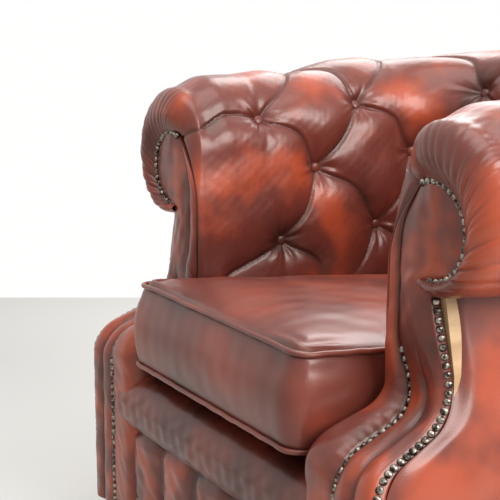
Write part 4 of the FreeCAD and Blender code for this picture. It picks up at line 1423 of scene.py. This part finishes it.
    def nails(self) -> tuple[bpy.types.Object, bpy.types.Object]:
        """The inner row, and the outer row that goes on round the head.

        Returns:
            The objects of the inner and the outer row.
        """
        s = self.sizes
        forward = np.stack([0 * self.turn, np.cos(self.turn), np.sin(self.turn)], -1)
        inner = self.lay(self.inner_edge(self.height)[:, None],
                         np.full((len(self.turn), 1), -0.0004))[:, 0]
        used = self.height < self.inner_nails_top
        inner_row = self.nail.row(inner[used], forward[used], 31)
        low = self.height < s.neck_z - 0.002
        aside = smooth(0.44, 0.50, self.height)[:, None]
        outer = self.lay(self.outer_edge(self.height)[:, None] - 0.0008 + 0.003 * aside,
                         -0.0040 - 0.0045 * aside)[:, 0]
        outward = np.array([1.0, 0.0, 0.0]) + forward * (1.1 - 0.85 * aside)
        side_row = self.nail.row(outer[low], outward[low], 32)
        head = np.radians(np.linspace(116, -97, 90))
        ring = np.stack([s.scroll_x + s.nail_circle * np.cos(head),
                         np.full(len(head), s.front + s.neck_setback - 0.0012),
                         s.scroll_z + s.nail_circle * np.sin(head)], -1)
        ring_row = self.nail.row(ring, np.array([0.0, -1.0, 0.0]), 33, closer=0.94)
        outer_row = [np.concatenate(parts) for parts in zip(side_row, ring_row)]
        rows = (("inner_nails", inner_row, 41), ("outer_nails", outer_row, 42))
        first, second = (self.nail.heads(self.side.node(name), mirrored(row[0], self.side),
                                         mirrored(row[1], self.side), seed)
                         for name, row, seed in rows)
        return first, second

    def build(self, shop: Workshop) -> None:
        """Build and dress the arm's front.

        Args:
            shop: Workshop that makes the materials and dresses the pieces.
        """
        node = self.side.node
        shop.dress(self.facing(), "facing_hide", "chair", [node("arm_facing")])
        shop.dress(self.band(), "hide", "chair", [node("arm_border")])
        inner, outer = self.nails()
        shop.dress(inner, "nail_metal", "chair", [node("nails_inner")])
        shop.dress(outer, "nail_metal", "chair", [node("nails_outer")])


@dataclass
class SeatFront:
    """Front of the seat: a stuffed lip over a pleated border with one row of buttons."""

    sizes: Sizes = SIZES
    button: CoveredButton = CoveredButton(0.0098, 0.0065)
    half: float = 0.3515
    lip_section: tuple[tuple[float, float], ...] = (
        (0.022, 0.2535), (0.009, 0.2535), (0.001, 0.260), (-0.0055, 0.273), (-0.0070, 0.291),
        (-0.0045, 0.309), (0.003, 0.326), (0.016, 0.339), (0.034, 0.347), (0.056, 0.349),
        (0.080, 0.344), (0.094, 0.336))
    lip_low: float = 0.253
    lip_end: float = 0.040
    lip_shrink: float = 0.020
    border_low: float = 0.081
    button_row: float = 0.133
    button_sink: float = 0.0190
    columns: int = 6
    pleat_depth: float = 0.0165
    pit_depth: float = 0.0075
    most_depth: float = 0.0240

    def lip(self) -> bpy.types.Object:
        """Rounded lip, tapered to its ends, with soft waves.

        Returns:
            The new object.
        """
        x = np.linspace(-self.half, self.half, 241)[:, None]
        marks = np.linspace(0, 1, len(self.lip_section))
        fine = np.linspace(0, 1, 64)
        back, rise = (np.convolve(np.pad(np.interp(fine, marks, keys), 2, "edge"),
                                  np.ones(5) / 5, "valid") for keys in zip(*self.lip_section))
        back, rise, fine = back[None], rise[None], fine[None]
        end = np.clip((np.abs(x) - self.half + self.lip_end) / self.lip_end, 0, 1)
        shrink = 1 - np.sqrt(np.maximum(0, 1 - end ** 2.4))
        bow = np.sin(math.pi * fine)
        soft = 0.0011 * wander(51, 0.11, x, rise * 2) * bow
        y = self.sizes.front + back + self.lip_shrink * shrink * bow ** 0.5 + soft
        z = rise - self.lip_shrink * shrink * smooth(0.25, 0.9, fine) + soft
        points = np.stack([np.broadcast_to(x, y.shape), y, z], -1)
        # Painted shade towards the lip's top and bottom edges and its ends, darkest along its
        # underside.
        hollow = np.clip(0.75 - bow ** 1.5 + shrink, 0, 1)
        crease = np.broadcast_to(np.exp(-(fine / 0.10) ** 2), hollow.shape)
        return grid_mesh("lip_leather", points, {"hollow": hollow, "crease": crease}, flip=True)

    def border(self) -> bpy.types.Object:
        """Pleated border, each pleat a folded pair of creases that runs down through its button.

        Returns:
            The new object.
        """
        x = np.linspace(-self.half, self.half, 421)[:, None]
        z = np.linspace(self.lip_low + 0.002, self.border_low, 74)[None]
        pitch = 2 * self.half / self.columns
        offset = (x + self.half) / pitch - 0.5
        from_pleat = np.abs(offset - np.round(offset)) * pitch
        from_end = self.half - np.abs(x)
        beside_end = np.minimum(from_pleat, from_end + 0.004)
        from_pleat = np.where(from_end < pitch / 2, beside_end, from_pleat)
        lobe = np.sin(math.pi / 2 * np.clip(from_pleat / (pitch * 0.42), 0, 1)) ** 0.55
        fold = 0.0042 * np.exp(-(from_pleat / 0.0030) ** 2) * smooth(0.125, 0.150, z)
        top = smooth(self.lip_low - 0.022, self.lip_low + 0.002, z)
        foot = smooth(self.border_low + 0.012, self.border_low, z)
        button = np.hypot(from_pleat, z - self.button_row)
        pit = self.pit_depth * np.exp(-(button / 0.016) ** 2)
        away = np.arctan2(z - self.button_row, from_pleat + 1e-6)
        rays = 0.0010 * np.sin(9 * away + 40 * button) * np.exp(-((button - 0.018) / 0.014) ** 2)
        depth = (self.pleat_depth * (1 - lobe) - fold + 0.0130 * top ** 1.4 + 0.006 * foot
                 + pit + rays + 0.0010 * wander(61, 0.10, x, z))
        y = self.sizes.front + 0.001 + np.clip(depth, -0.004, self.most_depth)
        points = np.stack(np.broadcast_arrays(x, y, z), -1)
        # Painted shade along the pleats' creases, in their valleys and under the lip.
        crease = np.exp(-((from_pleat - 0.005) / 0.0022) ** 2) * smooth(0.10, 0.14, z)
        crease = np.maximum(crease, np.exp(-(from_pleat / 0.003) ** 2) * smooth(0.13, 0.10, z))
        hollow = np.clip(np.clip(1.1 - lobe, 0, 1) + 0.5 * top, 0, 1)
        return grid_mesh("border_leather", points, {"hollow": hollow, "crease": crease}, flip=True)

    def buttons(self) -> bpy.types.Object:
        """Buttons of the border.

        Returns:
            The new object.
        """
        facing_front = np.array([[1.0, 0.0, 0.0], [0.0, 0.0, -1.0], [0.0, 1.0, 0.0]])
        placings = []
        for column in range(self.columns):
            x = -self.half + 2 * self.half * (column + 0.5) / self.columns
            centre = np.array([x, self.sizes.front + self.button_sink, self.button_row])
            placings.append((centre, facing_front, np.random.default_rng(400 + column)))
        return self.button.piece("border_buttons", placings)

    def build(self, shop: Workshop) -> None:
        """Build and dress the seat's front.

        Args:
            shop: Workshop that makes the materials and dresses the pieces.
        """
        shop.dress(self.lip(), "lip_hide", "chair", ["front_lip"])
        shop.dress(self.border(), "facing_hide", "chair", ["front_border"])
        shop.dress(self.buttons(), "hide", "chair", ["front_buttons"])


@dataclass
class SeatCushion:
    """Loose seat cushion: piped leather over a stuffed core, blown up by a cloth simulation."""

    sizes: Sizes = SIZES
    half: float = 0.250
    depth: float = 0.628
    boxing: float = 0.143
    crown: float = 0.035
    tilt: float = math.radians(5)
    setback: float = 0.012
    front_corner: float = 0.024
    rear_corner: float = 0.055
    cord: float = 0.0040
    voxel: float = 0.0055
    most_swell: float = 0.012
    side_bulge: float = 0.0055
    pressure: float = 5.0
    frames: int = 20
    outline_points: int = 260

    def outline(self, inset: float, count: int) -> Array:
        """Rounded outline of the cushion, evenly spaced.

        Args:
            inset: How far it lies inside the cushion's plan.
            count: Points round it.

        Returns:
            X and Y of the points, in the cushion's own frame.
        """
        half, front, rear = self.half - inset, inset, self.depth - inset
        near = max(0.010, self.front_corner - inset * 0.5 + 0.6 * max(0.0, -inset - 0.003))
        far = max(0.014, self.rear_corner - inset * 0.5)
        line = []
        for corner_x, corner_y, radius, start in ((half, front, near, -90), (half, rear, far, 0),
                                                  (-half, rear, far, 90), (-half, front, near, 180)):
            middle_x = corner_x - math.copysign(radius, corner_x)
            middle_y = corner_y + (radius if start in (-90, 180) else -radius)
            for turn in np.radians(np.linspace(start, start + 90, 14)):
                line.append((middle_x + radius * math.cos(turn), middle_y + radius * math.sin(turn)))
        line = np.array(line + line[:1])
        length = np.concatenate([[0], np.cumsum(np.linalg.norm(np.diff(line, axis=0), axis=1))])
        marks = np.linspace(0, length[-1], count, endpoint=False)
        return np.stack([np.interp(marks, length, line[:, axis]) for axis in range(2)], -1)

    def placed(self, points: Array) -> Array:
        """Points of the cushion's own frame, in the chair.

        Args:
            points: X across, Y back from the front edge, Z up from the top seam.

        Returns:
            The same points in the chair's frame.
        """
        y = points[:, 1] * math.cos(self.tilt) + points[:, 2] * math.sin(self.tilt)
        z = points[:, 2] * math.cos(self.tilt) - points[:, 1] * math.sin(self.tilt)
        return np.stack([points[:, 0], self.sizes.front + self.setback + y,
                         self.sizes.seat_height + z], -1)

    def start_shape(self) -> bpy.types.Object:
        """Closed form that the simulation starts from.

        Returns:
            The new object.
        """
        count = self.outline_points
        edges = ((-0.0005, -0.004), (0.004, 0.001))
        rings = [(inset, -self.boxing - level) for inset, level in reversed(edges)]
        for share in np.arange(1, 10) / 10:
            rings.append((-0.0095 * math.sin(math.pi * share) ** 0.8,
                          -self.boxing * (1 - share) + 0.004 - 0.008 * share))
        rings += edges
        for share in np.arange(1, 16) / 16:
            dome = math.sin(share * math.pi / 2) ** 0.8
            rings.append((0.004 + share * (self.half - 0.012), 0.001 + self.crown * 0.86 * dome))
        points = [np.column_stack([self.outline(inset, count), np.full(count, level)])
                  for inset, level in rings]
        faces = grid_faces(len(rings), count, wrap=True)
        last = (len(rings) - 1) * count
        faces += [[last + k for k in range(count)], list(range(count))[::-1]]
        return make_mesh("seat_cushion", self.placed(np.concatenate(points)), faces)

    def swollen(self, piece: bpy.types.Object) -> None:
        """Remesh the form, blow it up with its seams pinned, and cap how far it moves.

        Args:
            piece: The closed form; it is left remeshed.
        """
        remesh = piece.modifiers.new("even", "REMESH")
        remesh.mode, remesh.voxel_size = "VOXEL", self.voxel
        bake_modifiers(piece)
        rest = read_points(piece.data)
        own = self.unplaced(rest)
        inset = self.edge_distance(own)
        near_seam = np.minimum(np.abs(own[:, 2]), np.abs(own[:, 2] + self.boxing)) < 0.007
        bottom = (own[:, 2] < -self.boxing + 0.003) & (inset > 0.02)
        pinned = (inset < 0.007) & near_seam | bottom
        pins = piece.vertex_groups.new(name="seams")
        pins.add([int(k) for k in np.nonzero(pinned)[0]], 1.0, "REPLACE")
        cloth = piece.modifiers.new("swell", "CLOTH")
        cloth.settings.use_pressure = True
        cloth.settings.uniform_pressure_force = self.pressure
        cloth.settings.quality = 5
        cloth.settings.tension_stiffness = cloth.settings.compression_stiffness = 40.0
        cloth.settings.bending_stiffness = 3.0
        cloth.settings.vertex_group_mass = "seams"
        cloth.settings.effector_weights.gravity = 0.0
        for frame_number in range(1, self.frames + 1):
            bpy.context.scene.frame_set(frame_number)
        bake_modifiers(piece)
        bpy.context.scene.frame_set(1)
        shift = read_points(piece.data) - rest
        reach = np.linalg.norm(shift, axis=1, keepdims=True)
        shift *= np.minimum(1.0, self.most_swell / np.maximum(reach, 1e-9))
        piece.data.vertices.foreach_set("co", (rest + shift).reshape(-1))
        piece.data.update()

    def unplaced(self, points: Array) -> Array:
        """Points of the chair, in the cushion's own frame.

        Args:
            points: Points in the chair's frame.

        Returns:
            X across, Y back from the front edge, Z up from the top seam.
        """
        y = points[:, 1] - self.sizes.front - self.setback
        z = points[:, 2] - self.sizes.seat_height
        return np.stack([points[:, 0], y * math.cos(self.tilt) - z * math.sin(self.tilt),
                         z * math.cos(self.tilt) + y * math.sin(self.tilt)], -1)

    def edge_distance(self, own: Array) -> Array:
        """Distance inside the cushion's plan.

        Args:
            own: Points in the cushion's own frame.

        Returns:
            Distance from the plan's edge, positive inside.
        """
        middle = self.depth / 2
        corner = np.where(own[:, 1] < middle, self.front_corner, self.rear_corner)
        x = np.abs(own[:, 0]) - self.half + corner
        y = np.abs(own[:, 1] - middle) - middle + corner
        outside = np.hypot(np.maximum(x, 0), np.maximum(y, 0)) + np.minimum(np.maximum(x, y), 0)
        return corner - outside

    def detail(self, piece: bpy.types.Object) -> None:
        """Soft dents of use, the pull of the piping and the fold at the front corners, with painted
        shade by the seams, at the foot of the sides and near the top's edge.

        Args:
            piece: The swollen cushion.
        """
        subdivide = piece.modifiers.new("fine", "SUBSURF")
        subdivide.levels = subdivide.render_levels = 1
        bake_modifiers(piece)
        points = read_points(piece.data)
        normals = np.empty(points.size)
        piece.data.vertex_normals.foreach_get("vector", normals)
        own = self.unplaced(points)
        inset = self.edge_distance(own)
        top = smooth(-0.020, 0.004, own[:, 2])
        low = np.minimum(np.abs(own[:, 2]), np.abs(own[:, 2] + self.boxing))
        seam = np.exp(-(low / 0.007) ** 2) * np.exp(-(np.clip(inset, 0, 1) / 0.008) ** 2)
        above = np.exp(-(np.clip(inset - 0.004, 0, 1) / 0.010) ** 2) * top
        lift = -0.0016 * seam - 0.0010 * above
        for sign in (1, -1):
            corner = np.hypot(own[:, 0] - sign * (self.half - 0.030), own[:, 1] - 0.026)
            fold = np.exp(-((inset - 0.011) / 0.0050) ** 2) * np.exp(-(corner / 0.050) ** 2) * top
            dent = np.exp(-((inset - 0.024) / 0.0075) ** 2) * np.exp(-(corner / 0.060) ** 2) * top
            lift += 0.0042 * fold - 0.0030 * dent
            side_dent = np.exp(-((own[:, 2] + 0.026) / 0.012) ** 2) * np.exp(-(corner / 0.035) ** 2)
            lift -= 0.0040 * side_dent * smooth(0.012, 0.002, inset)
        bulge = np.sin(math.pi * np.clip(-own[:, 2] / self.boxing, 0, 1))
        lift += self.side_bulge * bulge * smooth(0.020, 0.006, inset)
        waves = 0.0014 * wander(71, 0.42, own[:, 0], own[:, 1]) * top
        waves += 0.0004 * wander(72, 0.14, own[:, 0], own[:, 1], own[:, 2])
        lift += waves * smooth(0.004, 0.03, np.maximum(inset, low))
        points += normals.reshape(-1, 3) * lift[:, None]
        piece.data.vertices.foreach_set("co", points.reshape(-1))
        # Painted shade: darker by both seams on the sides, towards their foot, and near the top's
        # edge, with a dark line along the seams.
        side = 1 - smooth(-0.02, 0.01, own[:, 2])
        rim = np.exp(-(low / 0.030) ** 2) * 0.65 * side
        foot = np.exp(-((own[:, 2] + self.boxing) / 0.040) ** 2) * side * 0.5
        hollow = np.clip(rim + foot + 0.6 * np.exp(-(inset / 0.038) ** 2) * top, 0, 1)
        add_layer(piece.data, "hollow", hollow)
        add_layer(piece.data, "crease", np.clip(seam * 0.8, 0, 1))

    def pipings(self) -> list[bpy.types.Object]:
        """Top and bottom cord, each with the seam's small unevenness.

        Returns:
            The top cord and the bottom cord.
        """
        cords = []
        ring = self.outline(-0.0032, 2 * self.outline_points)
        corner = np.hypot(np.abs(ring[:, 0]) - self.half, ring[:, 1])
        for name, level, dip, seed in (("top_piping", -0.0025, 0.0022, 81),
                                       ("bottom_piping", 0.0045 - self.boxing, 0.0, 82)):
            wave = 0.0006 * wander(seed, 0.12, ring[:, 0], ring[:, 1])
            wave -= dip * np.exp(-(corner / 0.045) ** 2)
            path = self.placed(np.column_stack([ring, level + wave]))
            squeeze = 1 + 0.05 * wander(seed + 5, 0.05, ring[:, 0], ring[:, 1])
            cords.append(tube(name, path, self.cord, closed=True, squeeze=squeeze))
        return cords

    def build(self, shop: Workshop) -> None:
        """Build and dress the cushion and its piping.

        Args:
            shop: Workshop that makes the materials and dresses the pieces.
        """
        cushion = self.start_shape()
        self.swollen(cushion)
        self.detail(cushion)
        shop.dress(cushion, "seat_hide", "cushion", ["cushion_cover", "cushion_core"])
        for cord, node in zip(self.pipings(), ("piping_top", "piping_bottom")):
            shop.dress(cord, "cord_hide", "cushion", [node])


def bake_modifiers(piece: bpy.types.Object) -> None:
    """Replace a piece's mesh with what its modifiers make of it.

    Args:
        piece: The piece; its modifiers are used up.
    """
    graph = bpy.context.evaluated_depsgraph_get()
    mesh = bpy.data.meshes.new_from_object(piece.evaluated_get(graph))
    piece.modifiers.clear()
    piece.data = mesh
    piece.data.shade_smooth()


@dataclass
class OutsideCovers:
    """Leather of the outer sides and back, with a welt along its foot and nails down the back."""

    leather: TuftedLeather
    arm: ArmFront
    sizes: Sizes = SIZES
    nail: DomedNail = DomedNail()
    low_out: float = 0.171
    neck_out: float = 0.118
    under_roll: float = 0.070
    behind_front: float = 0.0165
    puff: float = 0.0035
    hem_rise: float = 0.014
    welt_radius: float = 0.0036
    welt_rise: float = 0.0055
    nails_low: float = 0.030
    nails_top: float = 0.620

    def out_at(self, z: Array) -> Array:
        """Distance of the covers from the inside face.

        Args:
            z: Heights.

        Returns:
            Distance out at each height: straight low down, drawn in to the neck.
        """
        s = self.sizes
        lean = np.clip((z - s.bend_z) / (s.neck_z - s.bend_z), 0, 1)
        lean = 0.5 * lean + 0.5 * lean * lean * (3 - 2 * lean)
        return self.low_out + (self.neck_out - self.low_out) * lean

    def point(self, along: Array, out: Array, z: Array) -> Array:
        """Points at a distance out from the inside face.

        Args:
            along: Distance along the seat.
            out: Distance out from the inside face.
            z: Heights.

        Returns:
            The points.
        """
        base, _ = self.leather.base(along, np.full_like(along, 0.5))
        s = self.sizes
        turn = np.clip((along - s.corner_start) / s.corner_radius, 0, math.pi / 2)
        points = base + np.stack([np.cos(turn), np.sin(turn), 0 * turn], -1) * out[..., None]
        points[..., 2] = z
        return points

    def cover(self) -> bpy.types.Object:
        """The covers as one run, left front to right front.

        Returns:
            The new object.
        """
        s = self.sizes
        share, rise = np.meshgrid(np.linspace(0, 1, 250), np.linspace(0, 1, 110), indexing="ij")
        low = s.foot_height + 0.002
        top = self.leather.roll(share * s.path_middle)[2] - self.under_roll
        z = low + (top - low) * rise
        order = np.argsort(self.arm.height)
        start = np.interp(z, self.arm.height[order], self.arm.back[order]) + self.behind_front
        along = start + (s.path_middle - start) * share
        puff = self.puff * np.sin(math.pi * rise) ** 0.5 * smooth(0, 0.05, share)
        puff = puff - 0.017 * smooth(0.040, 0.0, share) * smooth(s.bend_z, s.neck_z, z)
        puff = puff + 0.0010 * wander(91, 0.24, along, z)
        from_hem = z - s.foot_height - self.hem_rise
        hem = np.exp(-(from_hem / 0.0025) ** 2) * 0.0016
        points = self.point(along, self.out_at(z) + puff - 0.003 - hem, z)
        # Painted shade along the hem and the top edge, under the roll, near the floor and beside the
        # arm front.
        crease = np.maximum(np.exp(-(from_hem / 0.002) ** 2), smooth(0.97, 1.0, rise)) * 0.8
        hollow = np.clip(smooth(0.80, 1.0, rise) + smooth(0.12, 0.0, rise) * 0.7
                         + smooth(0.05, 0.0, share) * 0.6, 0, 1)
        layers = {"hollow": both_halves(hollow), "crease": both_halves(crease)}
        return grid_mesh("outside_leather", both_halves(points), layers)

    def back_nails(self) -> bpy.types.Object:
        """Nails down both edges of the outside back.

        Returns:
            The new object.
        """
        s = self.sizes
        z = np.linspace(s.foot_height + self.nails_low, self.nails_top, 120)
        rise = np.clip((z - s.foot_height) / self.nails_top, 0, 1)
        puff = self.puff * np.sin(math.pi * rise) ** 0.5
        y = s.front + s.back_face + self.out_at(z) + puff - 0.0022
        path = np.stack([np.full_like(z, s.corner_x - 0.010), y, z], -1)
        places, faces = self.nail.row(path, np.array([0.0, 1.0, 0.0]), 95)
        return self.nail.heads("back_nails", np.concatenate([places, places * MIRROR]),
                               np.concatenate([faces, faces * MIRROR]), 96)

    def welt(self) -> bpy.types.Object:
        """Cord along the foot of the covers.

        Returns:
            The new object.
        """
        s = self.sizes
        along = np.linspace(0.022, s.path_middle, 300)
        half = self.point(along, np.full_like(along, self.low_out - 0.0025),
                          np.full_like(along, s.foot_height + self.welt_rise))
        return tube("foot_welt", both_halves(half), self.welt_radius, sides=10)

    def build(self, shop: Workshop) -> None:
        """Build and dress the outside.

        Args:
            shop: Workshop that makes the materials and dresses the pieces.
        """
        nodes = [side.node(part) for part in ("outside_arm", "outside_corner") for side in Side]
        shop.dress(self.cover(), "hide", "chair", nodes + ["outside_back"])
        shop.dress(self.welt(), "cord_hide", "chair")
        shop.dress(self.back_nails(), "nail_metal", "chair", ["nails_back"])


@dataclass
class Underside:
    """Deck under the cushion and the dust cover under the chair."""

    deck_corner: float = 0.086
    deck_drop: float = 0.016
    deck_round: float = 0.018
    sewn_line: float = 0.050
    sag: float = 0.0045

    def deck(self) -> bpy.types.Object:
        """Stuffed deck with rounded edges and a sewn line behind its front edge.

        Returns:
            The new object.
        """
        low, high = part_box("seat_deck")
        x = np.linspace(low.x + 0.002, high.x - 0.002, 90)[:, None]
        y = np.linspace(low.y + 0.001, high.y - 0.003, 110)[None]
        level = high.z - 0.004 - (y - low.y) * math.tan(SeatCushion.tilt)
        edge = np.minimum(np.minimum(x - low.x, high.x - x), np.minimum(y - low.y, high.y - y))
        corner = np.hypot(np.clip(np.abs(x) - high.x + self.deck_corner, 0, None),
                          np.clip(y - high.y + self.deck_corner, 0, None))
        edge = np.minimum(edge, self.deck_corner - corner)
        z = level - self.deck_drop * (1 - np.sqrt(np.clip(edge / self.deck_round, 0, 1)))
        z = z - 0.0025 * np.exp(-((y - low.y - self.sewn_line) / 0.0022) ** 2)
        z = z + 0.0010 * wander(111, 0.2, x, y)
        z = np.where(edge > -0.02, z, z - 0.01)
        return grid_mesh("deck_cloth", np.stack(np.broadcast_arrays(x, y, z), -1))

    def dust_cover(self) -> bpy.types.Object:
        """Thin cloth tacked under the rails, sagging a little between them.

        Returns:
            The new object.
        """
        low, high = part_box("dust_cover")
        x = np.linspace(low.x, high.x, 80)[:, None]
        y = np.linspace(low.y, high.y, 80)[None]
        across = np.sin(math.pi * (x - low.x) / (high.x - low.x))
        over = np.sin(math.pi * (y - low.y) / (high.y - low.y))
        sag = self.sag * (across * over) ** 0.5
        z = high.z - 0.0004 - sag + 0.0005 * wander(121, 0.15, x, y)
        return grid_mesh("dust_cloth", np.stack(np.broadcast_arrays(x, y, z), -1), flip=True)

    def build(self, shop: Workshop) -> None:
        """Build and dress both.

        Args:
            shop: Workshop that makes the materials and dresses the pieces.
        """
        shop.dress(self.deck(), "deck_cloth", "chair", ["seat_deck"])
        cover = self.dust_cover()
        shop.dress(cover, "dust_cloth", "chair", ["dust_cover"])


@dataclass
class Frame:
    """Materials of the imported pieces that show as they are."""

    single: tuple[tuple[str, str], ...] = (
        ("timber", "back_rail"), ("timber", "back_top_rail"), ("timber", "corner_blocks"),
        ("timber", "front_rail"), ("timber", "seat_back_rail"), ("timber", "seat_brace"),
        ("spring_steel", "seat_springs"), ("spring_steel", "spring_clips"),
        ("spring_steel", "foot_bolts"), ("hessian", "seat_hessian"), ("plastic", "foot_glides"),
        ("plastic", "cushion_zip"))
    paired: tuple[tuple[str, str], ...] = (
        ("timber", "arm_post"), ("timber", "arm_stump"), ("timber", "arm_top_rail"),
        ("timber", "back_post"), ("timber", "rear_corner_rail"), ("timber", "side_rail"),
        ("timber", "top_corner_rail"), ("foot_wood", "front_foot"), ("foot_wood", "rear_foot"))
    sharp_angle: float = math.radians(35)

    def build(self, shop: Workshop) -> None:
        """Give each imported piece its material.

        Args:
            shop: Workshop that makes the materials and dresses the pieces.
        """
        pairs = [(finish, side.node(part)) for finish, part in self.paired for side in Side]
        for finish, node in (*self.single, *pairs):
            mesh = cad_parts[node].data
            mesh.materials.clear()
            mesh.materials.append(shop.materials[finish])
            mesh.shade_smooth()
            mesh.set_sharp_from_angle(angle=self.sharp_angle)
            LOG.info("%s: packed piece in %s", node, finish)


@dataclass
class Studio:
    """Plain pale floor, soft light and the camera at the photograph's angle."""

    sizes: Sizes = SIZES
    lens: float = 86.4
    sensor: float = 36.0
    azimuth: float = math.radians(60.2)
    pitch: float = math.radians(11.0)
    eye_x: float = 1.545
    eye_y: float = -0.8056
    eye_z: float = 0.9552
    wall: float = 4.05
    floor_half: float = 7.0
    floor_tones: tuple[Colour, Colour] = ((0.64, 0.63, 0.60), (0.68, 0.67, 0.64))
    wall_tone: Colour = (1.0, 1.0, 0.995)
    ambient: float = 0.42
    aim: Triple = (0.0, 0.0, 0.6)

    def eye(self) -> Vector:
        """Place of the camera."""
        return Vector((self.eye_x, self.sizes.front + self.eye_y, self.eye_z))

    def floor(self) -> None:
        """Pale floor that ends in front of a white wall, as far off as in the photograph."""
        look = Vector((-math.sin(self.azimuth), math.cos(self.azimuth), 0.0))
        side = Vector((look.y, -look.x, 0.0))
        middle = self.eye()
        middle.z = 0.0
        half = self.floor_half
        corners = [middle + look * ahead + side * aside
                   for ahead, aside in ((-half, -half), (-half, half), (self.wall, half),
                                        (self.wall, -half))]
        floor = make_mesh("floor", np.array([list(corner) for corner in corners]), [(0, 1, 2, 3)])
        shader = Shader("floor")
        tone = shader.blend(shader.noise(0.6, 2.0), *self.floor_tones)
        floor.data.materials.append(shader.finish(Base_Color=tone, Roughness=0.6))

    def world(self) -> None:
        """White surroundings for the camera and for gloss, softer on the object."""
        shader = Shader("studio", world=True)
        shown = shader.ray("Is Camera Ray")
        for kind in ("Is Glossy Ray", "Is Transmission Ray"):
            shown = shown.larger(shader.ray(kind))
        strength = shader.add("ShaderNodeMix", {}, {0: shown, 2: self.ambient, 3: 1.0})
        bpy.context.scene.world = shader.finish(Color=self.wall_tone, Strength=strength)

    def lamp(self, name: str, place: Triple, size: tuple[float, float], power: float) -> None:
        """Soft rectangular lamp aimed at the seat.

        Args:
            name: Name of the lamp.
            place: Its place.
            size: Width and height.
            power: Power in watts.
        """
        data = bpy.data.lights.new(name, "AREA")
        data.shape = "RECTANGLE"
        data.size, data.size_y = size
        data.energy = power
        lamp = bpy.data.objects.new(name, data)
        lamp.location = place
        look = Vector(self.aim) - Vector(place)
        lamp.rotation_euler = look.to_track_quat("-Z", "Y").to_euler()
        bpy.context.scene.collection.objects.link(lamp)

    def camera(self) -> None:
        """Camera over the near arm, looking at the far one."""
        data = bpy.data.cameras.new("camera")
        data.lens, data.sensor_width, data.sensor_height = self.lens, self.sensor, self.sensor
        camera = bpy.data.objects.new("camera", data)
        camera.location = self.eye()
        look = Vector((-math.sin(self.azimuth) * math.cos(self.pitch),
                       math.cos(self.azimuth) * math.cos(self.pitch), -math.sin(self.pitch)))
        camera.rotation_euler = look.to_track_quat("-Z", "Y").to_euler()
        bpy.context.scene.collection.objects.link(camera)
        bpy.context.scene.camera = camera

    def build(self) -> None:
        """Build the studio."""
        self.floor()
        self.world()
        self.lamp("top", (0.3, -0.6, 2.9), (2.2, 1.8), 45)
        self.lamp("window", (2.7, 0.5, 2.1), (2.0, 1.5), 120)
        self.lamp("rear", (-1.2, 1.6, 2.5), (2.4, 1.6), 60)
        self.camera()
        bpy.context.scene.view_settings.view_transform = "Standard"


def main() -> None:
    """Build the chair, piece by piece, and its studio."""
    logging.basicConfig(level=logging.INFO, format="%(message)s")
    shop = Workshop()
    leather = TuftedLeather()
    leather.build(shop)
    left, right = (ArmFront(side) for side in Side)
    left.build(shop)
    right.build(shop)
    SeatFront().build(shop)
    SeatCushion().build(shop)
    OutsideCovers(leather, left).build(shop)
    Underside().build(shop)
    Frame().build(shop)
    Studio().build()
    LOG.info("%d pieces", shop.pieces)


if __name__ == "__main__":
    main()
